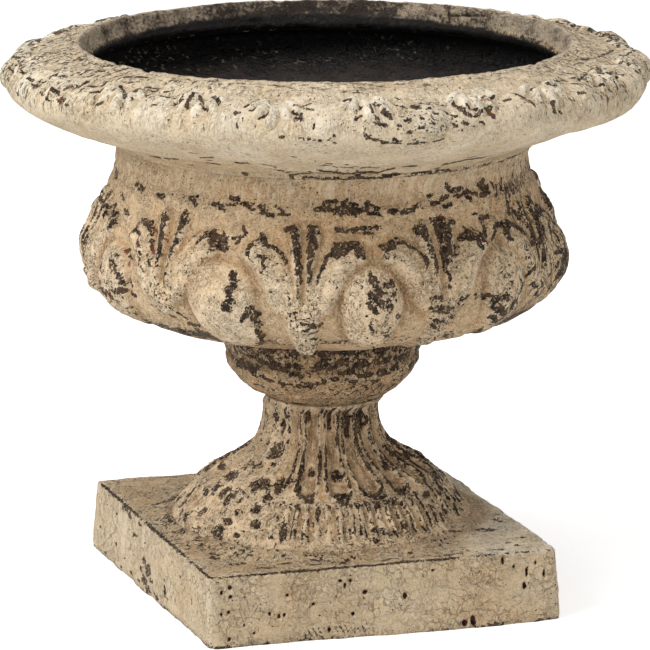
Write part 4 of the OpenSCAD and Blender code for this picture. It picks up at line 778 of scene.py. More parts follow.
def foot_relief(r, z, s, th, x, y):
    zz = z + 0 * th
    fa = front_angle(th)
    outer = s < FOOT_LEN
    jit = _rs_table(6, FLUTES, 33)
    pitch = 360 / FLUTES
    kk = np.round((fa + 7.5) / pitch).astype(int) % FLUTES
    df = (fa + 7.5 + pitch / 2) % pitch - pitch / 2
    wob = noise(x, y, zz, 16, 3) * 0.9 + noise(x, y, zz, 6, 4) * 0.35
    u = np.radians(df) * r + wob * 0.9 + 0.7 * jit[0][kk]
    half = np.radians(pitch / 2) * r
    zt = 72.5 + 2.0 * jit[1][kk]
    # a flute with a round lower end: distance to its border, inside positive
    wide = half * (0.69 + 0.05 * jit[2][kk])
    zc_ = zt + 6.0
    d_side = wide - np.abs(u)
    d_end = wide - np.hypot(u, (zz - zc_) * 1.5)
    inside = np.where(zz > zc_, d_side, d_end)
    worn_off = step(-20, -38, fa) * step(-105, -80, fa)
    dmg = 1 - 0.85 * worn_off
    low_r = noise(x, y, zz * 0.5, 14, 47)
    flute = -2.1 * step(-0.4, 2.2, inside) * step(123, 114, zz)
    border = 1.2 * np.exp(-(((inside + 0.4) / 1.3) ** 2)) * step(zt - 12, zt - 4, zz) * step(124, 114, zz) * (1 + 0.6 * low_r)
    h = (flute + border) * dmg
    # short ribs under the flutes, uneven
    pr = 4.8
    warp = 1.1 * noise(x, y, zz, 17, 44) + 0.5 * noise(x, y, zz, 7, 45)
    dr = (fa + 1.0 + warp + pr / 2) % pr - pr / 2
    kr = np.floor((fa + 1.0 + pr / 2) / pr).astype(int) % 75
    rib_h = 0.75 + 0.45 * _rs_table(1, 75, 41)[0][kr]
    tier = step(70.5, 67, zz) * step(49, 54, zz)
    clear = 1 - 0.8 * step(-14, -30, fa) * step(-105, -80, fa)
    ribs = 1.5 * np.cos(dr / pr * TAU) * rib_h * tier * clear
    roll = 1.2 * np.exp(-(((zz - 69.6) / 1.6) ** 2)) * (1 + 0.7 * low_r)
    h = h + ribs + roll * dmg
    small = 1.0 * noise(x, y, zz, 26, 1) + 0.6 * noise(x, y, zz, 8, 2) + 0.34 * fractal(x, y, zz, 3.6, 2, 5)
    lumps = worn_off * (1.3 * np.clip(noise(x, y, zz, 9.5, 52), -0.3, 1)) * step(98, 84, zz)
    spot, ring = spots(fa, r + 0 * th, zz, foot_outer, [(a, b, 1.14 * c, 1.14 * d) for a, b, c, d in FOOT_SPOTS], 0.34 * noise(x, y, zz, 5.5, 48) + 0.22 * noise(x, y, zz, 2.6, 49))
    h = h + small + lumps - 0.7 * spot + 0.45 * ring * (0.6 + 0.6 * low_r)
    h = h * np.where(outer, step(0, 3, s) * step(FOOT_LEN, FOOT_LEN - 3, s), 0.1)
    h = h + 4.5 * step(-30, -66, fa) * step(-104, -82, fa) * step(62, 49, zz) * outer
    h = h - 2.4 * np.exp(-(((zz - 80) / 8.0) ** 2)) * step(-52, -75, fa) * step(-165, -140, fa) * outer
    hb, hb2 = blur(h, 3, 3), blur(h, 12, 12)
    crest = h - hb
    low = fractal(x, y, zz, 18, 3, 60)
    right = step(8, 40, fa) * step(170, 120, fa)
    wear = 0.145 + 0.18 * np.clip(crest, -0.8, 0.9) + 0.16 * low + 0.04 * right - 0.05 * step(1.0, 2.4, inside) * step(72, 80, zz)
    brk = np.clip(0.75 + 0.9 * noise(x, y, zz * 0.45, 7, 65) + 0.35 * low, 0.0, 1.25)
    wear += 0.62 * np.exp(-(((inside + 0.4) / 1.5) ** 2)) * step(zt - 9, zt - 3, zz) * step(124, 119, zz) * (0.25 + 0.75 * dmg) * brk
    wear += 0.52 * np.exp(-(((inside + 1.3) / 1.7) ** 2)) * step(zt + 3, zt - 1, zz) * step(zt - 9, zt - 4, zz) * dmg * brk
    wear += 0.60 * np.exp(-(((np.abs(dr) - 1.15) / 0.46) ** 2)) * tier * clear * np.clip(0.7 + 1.1 * noise(x, y, zz, 6, 66), 0, 1.2) * (0.75 + 0.35 * right)
    wear += 0.26 * np.exp(-(((zz - 69.5) / 1.8) ** 2)) * brk * dmg
    wear += 0.34 * worn_off * step(0.10, 0.45, noise(x, y, zz, 8, 53)) + 0.20 * step(60, 56, zz) * step(47, 50, zz) * np.clip(0.2 + 1.2 * noise(x, y, zz, 6, 54), 0, 1)
    wear = np.maximum(wear * (1 - 0.45 * ring), 0.76 * spot)
    tone = 0.57 + 0.25 * low + 0.46 * np.clip(crest, -1, 1) + 0.10 * worn_off + 0.20 * ring - 0.10 * step(0.6, 2.0, inside) * step(70, 76, zz)
    # painted shade: browner in the hollows, inside the flutes and towards the bottom by the plinth
    shade_and_dirt = np.clip(0.26 * (hb2 - h), 0, 0.8) + 0.24 * step(54, 48, zz) + 0.10 * step(0.6, 2.0, inside) * step(70, 76, zz)
    flow = step(74, 80, zz) * (1 - worn_off)
    grain = 0.66 + 0.35 * low + 0.10 * right - 0.30 * step(0.8, 2.2, inside) * step(72, 80, zz)
    lean = 3.0 * outer * step(0, 10, s) * step(FOOT_LEN, FOOT_LEN - 6, s)
    return h, {"lean": lean, "wear": np.clip(wear, 0, 0.85), "tone": np.clip(tone, 0, 1), "shade_and_dirt": np.clip(shade_and_dirt, 0, 1), "flow": flow + 0 * th, "comb": 0 * zz,
               "grain": np.clip(grain, 0, 1)}


foot_outer = smooth_line([(93.2, 44.9), (93.0, 46.6), (91.2, 49.6), (88.2, 53.2), (85.0, 57.8), (81.4, 62.4), (77.0, 67.2), (71.6, 72), (65.6, 77), (54.2, 83.6),
                          (43.4, 91.5), (38.0, 100.5), (35.6, 109.5), (35.6, 117), (37.4, 123.2)], 0.8)
foot_inner = straight_line([(36.4, 123.5), (22.6, 123.5), (22.6, 115.5), (7, 115.5), (7, 37.5), (30, 37.5), (30, 45), (91, 45)], 6)
FOOT_LEN = float(np.cumsum(np.linalg.norm(np.diff(foot_outer, axis=0), axis=1))[-1])
foot_line = np.concatenate([foot_outer, foot_inner])


# ------------------------------------------------------------------ black coat
def coat_relief(r, z, s, th, x, y):
    zz = z + 0 * th
    h = 0.5 * fractal(x, y, zz, 16, 3, 71) + 0.28 * noise(x, y, zz, 4.5, 72)
    # the coat is lumpier high up, under the lip; this band is also coloured darker in the coat's material, as painted
    # shade
    lumpy = step(303, 312, zz)
    h = h + lumpy * (1.3 * fractal(x, y, zz, 15, 3, 73) + 0.4 * noise(x, y, zz, 4, 74))
    back = s > COAT_LEN
    h = np.where(back, 0, np.clip(h, -0.8, 1.8) + 0.4)
    h = h * np.where(back, 1, step(0, 6, s) * step(COAT_LEN, COAT_LEN - 6, s))
    return h, {"rough": np.clip(lumpy, 0, 1) + 0 * th, "wear": np.clip(0.5 + 0.5 * fractal(x, y, zz, 24, 3, 75), 0, 1)}


_wall = np.concatenate([
    straight_line([(18.6, 192.1), (101.8, 192.1)], 4),
    smooth_line([(102, 192.1), (105.9, 193.2), (108.2, 196.7), (108.9, 203)], 2)[1:],
    straight_line([(108.9, 203), (113.3, 279), (113.3, 291.4), (121.9, 294.0)], 3.5)[1:],
    smooth_line([(121.9, 294.0), (139.9, 301.9), (157.9, 309.9), (167.9, 316.1), (171.4, 321.6), (167.8, 326.9), (160, 329.4), (152, 329.9)], 2.2)[1:],
])
_d = np.gradient(_wall, axis=0)
_d /= np.linalg.norm(_d, axis=1)[:, None]
coat_in = _wall + np.c_[-_d[:, 1], _d[:, 0]] * 1.5
COAT_LEN = float(np.cumsum(np.linalg.norm(np.diff(coat_in[::-1], axis=0), axis=1))[-1])
coat_line = np.concatenate([coat_in[::-1], _wall])


# ------------------------------------------------------------------ plinth
# corners of the worn block, as front-left, front-right, back-right, back-left, seen from above with the camera at the bottom
# pinholes in the front side as (x, z, half width, half height), and scuffs on the left side as (y, z, ...)
PINS = [(-96.2, 36.7, 1.3, 1.5), (-96.0, 31.0, 1.1, 1.3), (-101.4, 34.0, 1.0, 1.2), (-102.0, 21.0, 0.9, 1.1), (-97.6, 21.8, 1.1, 1.2),
        (-60.4, 29.0, 1.1, 1.1), (-44.2, 22.5, 1.1, 1.1), (-71.8, 18.7, 0.9, 1.2), (-66.1, 16.9, 1.1, 1.6), (-62.9, 17.3, 0.9, 1.3), (-11.6, 27.1, 1.5, 1.5),
        (-19.7, 14.5, 1.3, 1.3), (13.7, 22.8, 1.3, 2.2), (77.1, 39.0, 1.1, 2.4), (92.2, 30.9, 0.9, 3.0), (103.4, 29.3, 0.9, 2.6), (90.3, 22.8, 1.3, 2.4),
        (-81.9, 7.7, 0.9, 1.0), (-97.7, 5.4, 1.0, 1.2), (-26.7, 35.4, 1.3, 0.9), (-20.5, 34.8, 1.2, 1.1), (-24, 32.6, 0.8, 1.4), (84, 35, 0.8, 1.4),
        (98, 36.5, 0.7, 1.5), (32, 37, 1.2, 0.8), (-88, 13, 0.8, 0.9), (56, 4.6, 1.8, 3.4), (50.7, 3.4, 2.0, 2.2), (-35, 6, 1.0, 2.0)]
SCUFFS = [(12, 20, 4.5, 3.0), (3, 16, 6.5, 4.6), (18, 12.6, 3.0, 2.2), (9.5, 7.7, 6.5, 3.6), (-3, 11.3, 4.0, 1.8), (21, 4.4, 3.0, 1.5), (-29, 11.2, 2.8, 4.2), (-28, 18.5, 1.6, 1.3),
          (34.4, 30.7, 7.5, 1.6), (46.8, 40, 6, 2.4), (59, 41.5, 8, 2.2), (59, 2.4, 3, 1.7), (37, 4.0, 4, 2.1), (72, 14, 2.2, 1.1), (92, 3.2, 2.6, 1.4), (107, 17, 2.2, 1.3),
          (2, 3.5, 6, 2.1), (-13, 2.9, 5, 1.9), (12, 32, 1.8, 1.1), (52, 11, 2.2, 1.0), (-33, 7.9, 3, 1.1), (-58, 30, 1.6, 1.2), (-80, 20, 1.4, 1.4), (26, 40, 5, 1.6), (75, 33, 2.4, 1.4)]
STAINS = [(-93, -70, 4, 9), (-96, -50, 3, 8), (-84, -88, 7, 3), (-100, 8, 3, 12), (-70, -100, 6, 2.4), (-40, -104, 5, 1.8), (8, -108, 9, 1.4), (44, -110, 12, 1.5),
          (76, -108, 8, 2.0), (92, -104, 4, 2.2), (100, -88, 3, 2.4), (88, -96, 2.4, 1.8), (-30, -100, 3, 1.6), (22, -102, 2, 1.6), (58, -98, 2.4, 1.6),
          (-55.8, -97.2, 5.0, 3.6), (-88, 52, 12, 5), (-79.5, 9.7, 4, 7), (84, -66, 9, 5), (99, -48, 3.5, 6), (-71.4, -54, 3, 3), (-77, -42, 3, 4),
          (30, -108, 3, 2.2), (60, -106, 4, 2), (-20, -106, 3, 2.4), (-100, -20, 3, 6), (-60, 90, 6, 8), (70, 80, 8, 7)]


def flat_spots(p, q, marks):
    out = np.zeros(len(p))
    for a, b, c, d in marks:
        out = np.maximum(out, step(1.3, 0.6, np.sqrt(((p - a) / c) ** 2 + ((q - b) / d) ** 2)))
    return out


def plinth():
    top_z = 44.0
    rx, rz = 5.2, 2.0
    half_top, half_foot = np.array(PLINTH_TOP, float), np.array(PLINTH_FOOT, float)
    n, nz = ((270, 52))
    u, w = np.linspace(-1, 1, n + 1), np.linspace(0, 1, nz + 1)
    verts, quads, coords = {}, [], []

    def vid(i, j, k):
        key = (i, j, k)
        if key not in verts:
            verts[key] = len(coords)
            coords.append((u[i], u[j], w[k]))
        return verts[key]

    for k in range(nz):
        for i in range(n):
            quads.append((vid(i, 0, k), vid(i + 1, 0, k), vid(i + 1, 0, k + 1), vid(i, 0, k + 1)))
            quads.append((vid(i + 1, n, k), vid(i, n, k), vid(i, n, k + 1), vid(i + 1, n, k + 1)))
            quads.append((vid(0, i + 1, k), vid(0, i, k), vid(0, i, k + 1), vid(0, i + 1, k + 1)))
            quads.append((vid(n, i, k), vid(n, i + 1, k), vid(n, i + 1, k + 1), vid(n, i, k + 1)))
    for i in range(n):
        for j in range(n):
            quads.append((vid(i, j, nz), vid(i + 1, j, nz), vid(i + 1, j + 1, nz), vid(i, j + 1, nz)))
    c = np.array(coords)
    a, b, t = c[:, 0], c[:, 1], c[:, 2]

    def corner(q):
        wa, wb = (a + 1) / 2, (b + 1) / 2
        return ((1 - wa) * (1 - wb))[:, None] * q[0] + (wa * (1 - wb))[:, None] * q[1] + (wa * wb)[:, None] * q[2] + ((1 - wa) * wb)[:, None] * q[3]

    xy = corner(half_foot) * (1 - t)[:, None] + corner(half_top) * t[:, None]
    x, y, z = xy[:, 0], xy[:, 1], t * top_z
    side = 112.0
    ex, ey, ez, eb = (1 - np.abs(a)) * side, (1 - np.abs(b)) * side, (1 - t) * top_z, t * top_z
    # rounded edges: each point is pulled in towards a smaller block, then pushed out again by the radius
    dx, dy, dz = np.clip(rx - ex, 0, None), np.clip(rx - ey, 0, None), np.clip(rz - ez, 0, None)
    ln = np.maximum(np.sqrt((dx / rx) ** 2 + (dy / rx) ** 2 + (dz / rz) ** 2), 1.0)
    p = np.c_[x, y, z]
    knock = 1 + 0.55 * noise(x, y, z, 23, 5) + 0.3 * noise(x, y, z, 7, 6)
    p += np.c_[np.sign(a) * dx, np.sign(b) * dy, dz] * ((1 / ln - 1) * knock)[:, None]
    face = np.c_[np.sign(a) * dx / rx, np.sign(b) * dy / rx, dz / rz]
    face /= np.maximum(np.linalg.norm(face, axis=1), 1e-6)[:, None]
    on_top = step(2.0, 0.4, ez)
    near_top = np.minimum(np.where(on_top > 0.5, np.minimum(ex, ey), ez), 99)
    chips = step(0.30, 0.66, noise(x, y, z, 12, 9) * 0.7 + noise(x, y, z, 5, 10) * 0.5) * np.exp(-((near_top / 3.0) ** 2)) * 1.6
    rad = np.hypot(x, y)
    front_side = (b < -0.999) & (ez > 0.5)
    left_side = (a < -0.999) & (ez > 0.5)
    # the front side is brushed in uneven patches, with drips under the top edge
    flat = 0.7 * noise(x, y, z, 60, 1) + 0.38 * noise(x, y, z, 15, 2) + 0.20 * fractal(x, y, z, 5, 2, 3) + 0.10 * noise(x, y, z, 2.6, 4)
    drips = 0.22 * noise(x, y, z * 0.15, 5, 16) * (1 - on_top) * step(0.0, 0.5, noise(x, y, z, 45, 17))
    pins = flat_spots(x, z, PINS) * front_side
    scuffs = flat_spots(y + 1.5 * noise(x, y, z, 4, 18), z + 2.0 * noise(x, y, z, 4, 19), SCUFFS) * left_side
    stains = flat_spots(x + 3 * noise(x, y, z, 7, 18), y + 3 * noise(x, y, z, 7, 19), STAINS) * on_top
    far = (1 - front_side) * (1 - left_side) * (1 - on_top)
    pins = np.maximum(pins, far * step(0.55, 0.62, noise(x, y, z, 5.0, 24)))
    fillet = 3.4 * np.exp(-(((np.hypot(x + 4.0, y) - 96) / 6.5) ** 2)) * on_top * step(0.5, 4, np.minimum(ex, ey)) * (1 + 0.5 * noise(x, y, z, 22, 14))
    tool = 0.30 * noise(x * 0.4, y * 2.0, z, 12, 15) * on_top
    # fine wrinkles on the top
    wr = np.abs(noise(x, y, z, 6.5, 26))
    wrinkle = step(0.10, 0.0, wr) * on_top * step(-0.1, 0.4, noise(x, y, z, 26, 27))
    h = flat + drips - chips - 1.6 * pins - 0.5 * scuffs - 0.25 * stains - 0.35 * wrinkle
    p += face * h[:, None] + np.c_[0 * x, 0 * x, fillet + tool]
    # the underside stays flat on the ground, with its edge a little ragged and rolled under
    roll = np.exp(-((eb / 3.0) ** 2)) * np.clip(0.8 + 1.4 * noise(x, y, z, 22, 20) + 0.5 * noise(x, y, z, 6, 28), 0.1, 3.0)
    roll -= 2.6 * front_side * step(-40, 30, x) * step(114, 90, x) * np.exp(-((eb / 16.0) ** 2))
    p -= (face * np.array([1, 1, 0])) * roll[:, None]
    lift = np.exp(-((eb / 1.2) ** 2)) * np.clip(1.1 * noise(x, y, z * 0, 30, 29) - 0.1, 0, 1.5)
    p[:, 2] = np.where(on_top > 0.5, p[:, 2], np.maximum(p[:, 2], 0.0) + lift * (1 - t))

    low = fractal(x, y, z, 26, 3, 60)
    mid = noise(x, y, z, 7, 62)
    upright = np.exp(-((np.minimum(np.maximum(ex, ey), 99) / 4.0) ** 2)) * (1 - on_top)
    edge_line = np.exp(-(((near_top - 0.4) / 0.9) ** 2)) * (1 - upright)
    on_front_edge = step(-0.8, -0.97, b)
    along = noise(x, y, z * 0, 17, 63)
    wear = 0.00 + 0.06 * low
    wear += edge_line * (0.46 * np.clip(0.8 + 0.9 * along, 0, 1.2) + 0.22 * on_front_edge * step(-102, -96, x))
    wear += 0.16 * np.exp(-((near_top / 4.0) ** 2)) * np.clip(0.3 + 1.2 * along + 0.5 * mid, 0, 1)
    wear += 0.42 * np.exp(-((near_top / 2.4) ** 2)) * (a < -0.93) * step(-70, -40, y) * np.clip(0.1 + 1.3 * noise(x, y, z * 0, 9, 33), 0, 1)
    wear += 0.40 * front_side * np.exp(-((eb / 1.8) ** 2)) * step(-24, 4, x) * np.clip(0.45 + 1.1 * noise(x, y, z * 0, 11, 34), 0, 1)
    wear += 0.30 * step(0.3, 1.2, chips)
    foot_line = np.exp(-((eb / 3.2) ** 2))
    wear += foot_line * np.clip(0.34 + 0.42 * noise(x, y, z * 0, 20, 21) + 0.25 * mid, 0, 0.62)
    tick = step(0.35, 0.8, np.cos((x + 0.6 * z) / 3.4 * TAU)) * step(2.5, 4, z) * step(9.5, 7.5, z) * step(-54, -50, x) * step(-4, -8, x) * front_side
    wear += 0.85 * tick * (0.85 + 0.5 * mid)
    wear += on_top * (0.17 + 0.06 * step(-20, -60, x) + 0.16 * low - 0.10 * step(40, 80, x) + 0.22 * step(84, 94, rad) * step(116, 100, rad) * np.clip(0.5 + noise(x, y, z, 15, 23), 0, 1.2)) + 0.24 * wrinkle
    wear = np.maximum(wear, np.maximum(0.9 * pins, np.maximum(0.76 * scuffs, 0.60 * stains)))
    # painted light: far paler on the top's right beyond the foot, against the bowl's shadow there; paler up the corners
    # and round the top's edges as painted highlights; also darker on the top and paler on the left side
    tone = 0.50 + 0.22 * low - 0.22 * on_top + 0.24 * left_side + 0.18 * (1 - on_top) * upright + 0.85 * on_top * step(30, 80, x) * step(98, 108, rad)
    tone += 0.26 * on_top * np.exp(-((near_top / 5.0) ** 2))
    # painted shade in a ring round the foot's base and along the bottom edge at the floor; dirt in patches on the top,
    # faded out to the right as painted light against the bowl's shadow
    shade_and_dirt = 0.35 * on_top * np.exp(-(((rad - 98) / 7) ** 2)) + 0.30 * foot_line + 0.18 * on_top * step(0, 0.5, noise(x, y, z, 30, 25)) * step(80, 30, x)
    grain = 0.16 + 0.22 * low + 0.34 * on_top + 0.25 * foot_line + 0.2 * np.exp(-((near_top / 6.0) ** 2))
    at = {k: np.clip(v_, 0, 1.4 if k == "tone" else 1) for k, v_ in {"wear": np.minimum(wear, 0.9), "tone": tone, "shade_and_dirt": shade_and_dirt, "grain": grain, "pin": pins}.items()}

    # underside: from the square's edge in to the recess for the nut, up the rod's bore and out to the foot's socket
    loop = [vid(i, 0, 0) for i in range(n)] + [vid(n, j, 0) for j in range(n)] + [vid(n - i, n, 0) for i in range(n)] + [vid(0, n - j, 0) for j in range(n)]
    count = len(loop)
    outer_xy = p[loop][:, :2]
    ang = np.arctan2(outer_xy[:, 1], outer_xy[:, 0])
    round_ = np.c_[np.cos(ang), np.sin(ang)]
    rec = [(0.97, 0.0, None), (0.85, 0.0, None), (0.6, 0.0, None), (0.35, 0.0, None), (0, 0.0, 18.5), (0, 8.5, 18.5), (0, 17.0, 18.5), (0, 17.0, 7.0),
           (0, 27.0, 7.0), (0, 35.0, 7.0), (0, 35.0, 18.0), (0, 35.0, 30.6), (0, 43.0, 30.6)]
    base, prev, new, rings = len(p), np.array(loop), [], []
    for f, z1, r1 in rec:
        pts = outer_xy * f + round_ * 18.5 * (1 - f) if r1 is None else round_ * r1
        ids = base + len(new) * count + np.arange(count)
        new.append(np.c_[pts, np.full(count, z1)])
        rings.append((prev, ids))
        prev = ids
    allp = np.concatenate([p] + new)
    for p0, p1 in rings:
        for q in range(count):
            q2 = (q + 1) % count
            quads.append((p0[q2], p0[q], p1[q], p1[q2]))
    extra = len(allp) - base
    for k in at:
        at[k] = np.concatenate([at[k], np.full(extra, 0.0 if k == "pin" else 0.25)])
    zeros = np.zeros(len(allp))
    at["flow"], at["comb"] = zeros, zeros
    at["cyl"] = allp * MM
    at["side"] = np.concatenate([1 - on_top, np.zeros(extra)])
    return new_mesh("stone_plinth", allp, np.array(quads), at)


# corners front left, front right, back right, back left, as the worn block really sits
PLINTH_TOP = [(-109.0, -113.0), (112.5, -118), (106, 115), (-118, 122)]
PLINTH_FOOT = [(-110, -117.5), (115, -123), (109, 118), (-122, 124)]


# ------------------------------------------------------------------ materials
class Net:
    """A small helper to lay shader nodes."""

    def __init__(self, name):
        self.mat = bpy.data.materials.new(name)
        self.mat.use_nodes = True
        self.nt = self.mat.node_tree
        self.nt.nodes.clear()

    def node(self, kind, **kw):
        n = self.nt.nodes.new(kind)
        for k, v in kw.items():
            setattr(n, k, v)
        return n

    def link(self, a, b):
        self.nt.links.new(a, b)

    def val(self, sock, v):
        if isinstance(v, bpy.types.NodeSocket):
            self.link(v, sock)
        else:
            sock.default_value = v

    def math(self, op, a, b=0.0, c=None, clamp=False):
        n = self.node("ShaderNodeMath", operation=op, use_clamp=clamp)
        self.val(n.inputs[0], a)
        self.val(n.inputs[1], b)
        if c is not None:
            self.val(n.inputs[2], c)
        return n.outputs[0]

    def ramp(self, x, lo, hi, a=0.0, b=1.0, smooth=True):
        n = self.node("ShaderNodeMapRange", interpolation_type="SMOOTHSTEP" if smooth else "LINEAR", clamp=True)
        self.val(n.inputs["Value"], x)
        self.val(n.inputs["From Min"], lo)
        self.val(n.inputs["From Max"], hi)
        self.val(n.inputs["To Min"], a)
        self.val(n.inputs["To Max"], b)
        return n.outputs[0]

    def attr(self, name, vector=False):
        n = self.node("ShaderNodeAttribute", attribute_name=name, attribute_type="GEOMETRY")
        return n.outputs["Vector" if vector else "Fac"]

    def scaled(self, vec, s):
        n = self.node("ShaderNodeVectorMath", operation="MULTIPLY")
        self.link(vec, n.inputs[0])
        n.inputs[1].default_value = s if isinstance(s, tuple) else (s, s, s)
        return n.outputs[0]

    def noise(self, vec, scale, detail=3.0, rough=0.5, distort=0.0, out="Fac", lac=2.0):
        n = self.node("ShaderNodeTexNoise", noise_dimensions="3D")
        self.link(vec, n.inputs["Vector"])
        n.inputs["Scale"].default_value = scale
        n.inputs["Detail"].default_value = detail
        n.inputs["Roughness"].default_value = rough
        n.inputs["Distortion"].default_value = distort
        n.inputs["Lacunarity"].default_value = lac
        return n.outputs[out]

    def voronoi(self, vec, scale, feature="F1", rand=1.0):
        n = self.node("ShaderNodeTexVoronoi", feature=feature)
        self.link(vec, n.inputs["Vector"])
        n.inputs["Scale"].default_value = scale
        n.inputs["Randomness"].default_value = rand
        return n

    def mix(self, fac, a, b, blend="MIX"):
        n = self.node("ShaderNodeMix", data_type="RGBA", blend_type=blend)
        self.val(n.inputs[0], fac)
        for s_, v in ((n.inputs[6], a), (n.inputs[7], b)):
            if isinstance(v, bpy.types.NodeSocket):
                self.link(v, s_)
            else:
                s_.default_value = (*v, 1.0) if len(v) == 3 else v
        return n.outputs[2]

    def mixf(self, fac, a, b):
        n = self.node("ShaderNodeMix", data_type="FLOAT")
        self.val(n.inputs[0], fac)
        self.val(n.inputs[2], a)
        self.val(n.inputs[3], b)
        return n.outputs[0]


def srgb(r, g, b):
    return tuple((c / 255 / 12.92) if c / 255 <= 0.04045 else ((c / 255 + 0.055) / 1.055) ** 2.4 for c in (r, g, b))


WHITE = srgb(247, 237, 217)
CREAM = srgb(234, 215, 185)
PALE = srgb(214, 190, 155)
TAN = srgb(184, 150, 109)
BROWN = srgb(126, 95, 65)
DARK = srgb(42, 29, 18)
DARK2 = srgb(99, 76, 55)
RUST = srgb(112, 46, 26)


def paint(name, kind):
    """Old cream paint over a dark undercoat, worn through where the wear value is high."""
    n = Net(name)
    pos = n.node("ShaderNodeTexCoord").outputs["Object"]
    cyl = n.attr("cyl", vector=True)
    wear, tone, shade_and_dirt, flow, grain = n.attr("wear"), n.attr("tone"), n.attr("shade_and_dirt"), n.attr("flow"), n.attr("grain")
    streak = n.scaled(cyl, (1.0, 1.0, 0.34))

    # paint worn through in ragged patches
    if kind == "rim":
        streak = n.scaled(cyl, (1.0, 1.0, 0.36))
    big = n.mixf(flow, n.noise(pos, 290, 5, 0.62, 0.7), n.noise(streak, 440 if kind == "rim" else 380, 4, 0.60, 0.5))
    jag = n.noise(pos, 640, 2, 0.6, 0.6)
    patch = n.math("ADD", n.math("MULTIPLY", n.math("SUBTRACT", big, 0.5), 2.0), n.math("SUBTRACT", wear, 0.5))
    patch = n.math("ADD", patch, n.math("MULTIPLY", n.math("SUBTRACT", jag, 0.5), 1.1))
    worn = n.ramp(patch, -0.02, 0.03)
    # peppering where the grain is strong
    spk = n.mixf(flow, n.noise(pos, 480, 2, 0.6, 0.5), n.noise(streak, 560, 2, 0.6, 0.3))
    more = n.math("MULTIPLY", n.math("MAXIMUM", n.math("SUBTRACT", grain, 0.62), 0.0), 0.34)
    speck = n.ramp(n.math("ADD", spk, more), 0.690, 0.712)
    dark = n.math("MAXIMUM", worn, speck, clamp=True)
    # pin-size specks all over
    fine = n.ramp(n.math("ADD", n.noise(pos, 620, 2, 0.55, 0.4), n.math("MULTIPLY", grain, 0.045)), 0.705, 0.722)
    dark = n.math("MAXIMUM", dark, n.math("MULTIPLY", fine, 0.85), clamp=True)
    if kind == "rim":
        # short brown dashes down the rim's shoulder
        dash = n.ramp(n.noise(n.scaled(cyl, (1.0, 1.0, 0.38)), 440, 2, 0.5, 0.4), 0.606, 0.626)
        dash = n.math("MULTIPLY", dash, n.attr("dashes"), clamp=True)
        dark = n.math("MAXIMUM", dark, n.math("MULTIPLY", dash, 0.82), clamp=True)
        # the stippled ovals
        dots = n.math("MULTIPLY", n.ramp(n.noise(pos, 560, 2, 0.5, 0.5), 0.600, 0.625), n.attr("comb"))
        dark = n.math("MAXIMUM", dark, dots, clamp=True)
    left = n.ramp(n.noise(pos, 600, 3, 0.6), 0.595, 0.635)
    dark = n.math("MULTIPLY", dark, n.math("SUBTRACT", 1.0, n.math("MULTIPLY", left, 0.85)), clamp=True)

    # crinkles in the paint: winding lines, dark beside pale, painted as an emboss: the pale line is a painted highlight
    # and the dark line partly painted shade of the groove
    wr = n.mixf(flow, n.noise(pos, 210, 2, 0.5, 1.3), n.noise(streak, 300, 2, 0.5, 0.9))
    wave = n.math("SINE", n.math("MULTIPLY", wr, 30.0))
    mask = n.math("MULTIPLY", n.math("ADD", 0.12, n.math("MULTIPLY", grain, 1.35)), n.ramp(n.noise(pos, 75, 3, 0.6), 0.38, 0.55), clamp=True)
    line = n.math("MULTIPLY", n.ramp(wave, -0.66, -0.92), mask, clamp=True)
    pale = n.math("MULTIPLY", n.ramp(wave, 0.35, 0.85), mask, clamp=True)

    # paint colour; the tone also carries painted light and shade on the sides of the bowl and rim and on the plinth
    cloud = n.noise(pos, 28, 4, 0.6)
    crust = n.noise(pos, 470, 4, 0.65, 1.0)
    crust2 = n.noise(pos, 180, 3, 0.6, 1.5)
    t = n.math("ADD", tone, n.math("MULTIPLY", n.math("SUBTRACT", cloud, 0.5), 1.1))
    calm = 0.72 if kind == "plinth" else 1.0
    t = n.math("ADD", t, n.math("MULTIPLY", n.math("SUBTRACT", crust, 0.5), 1.5 * calm))
    t = n.math("ADD", t, n.math("MULTIPLY", n.math("SUBTRACT", n.noise(pos, 900, 3, 0.6), 0.5), 1.7 * calm))
    t = n.math("ADD", t, n.math("MULTIPLY", n.math("SUBTRACT", crust2, 0.5), 0.8 * calm))
    col = n.mix(n.ramp(t, 0.0, 0.55), TAN, PALE)
    col = n.mix(n.ramp(t, 0.5, 1.05), col, CREAM)
    # whitest paint on raised parts; on the plinth it also shows the painted light on the top's right
    if kind in ("rim", "bowl", "plinth"):
        col = n.mix(n.ramp(t, 1.00, 1.45, 0.0, 0.80), col, WHITE)
    # painted shade, with some dirt: brown mixed in where the shade and dirt value is high, in hollows and under
    # overhangs
    brown_shading = n.math("ADD", shade_and_dirt, n.math("MULTIPLY", n.math("SUBTRACT", 0.5, crust), 0.6 * calm))
    col = n.mix(n.ramp(brown_shading, 0.14, 0.90, 0.0, 0.80), col, BROWN)
    # pale strokes of a brush, up and down the neck
    comb = n.attr("comb")
    if kind == "bowl":
        stroke = n.ramp(n.noise(n.scaled(cyl, (1.0, 1.0, 0.20)), 420, 2, 0.5, 0.35), 0.52, 0.60)
        thin = n.ramp(n.noise(n.scaled(cyl, (1.0, 1.0, 0.30)), 460, 2, 0.5, 0.5), 0.600, 0.622)
        thin = n.math("MULTIPLY", thin, n.math("MULTIPLY", flow, n.math("SUBTRACT", 1.0, comb)), clamp=True)
        dark = n.math("MAXIMUM", dark, n.math("MULTIPLY", thin, 0.80), clamp=True)
        col = n.mix(n.math("MULTIPLY", n.math("MULTIPLY", stroke, comb), 0.72), col, srgb(230, 214, 188))
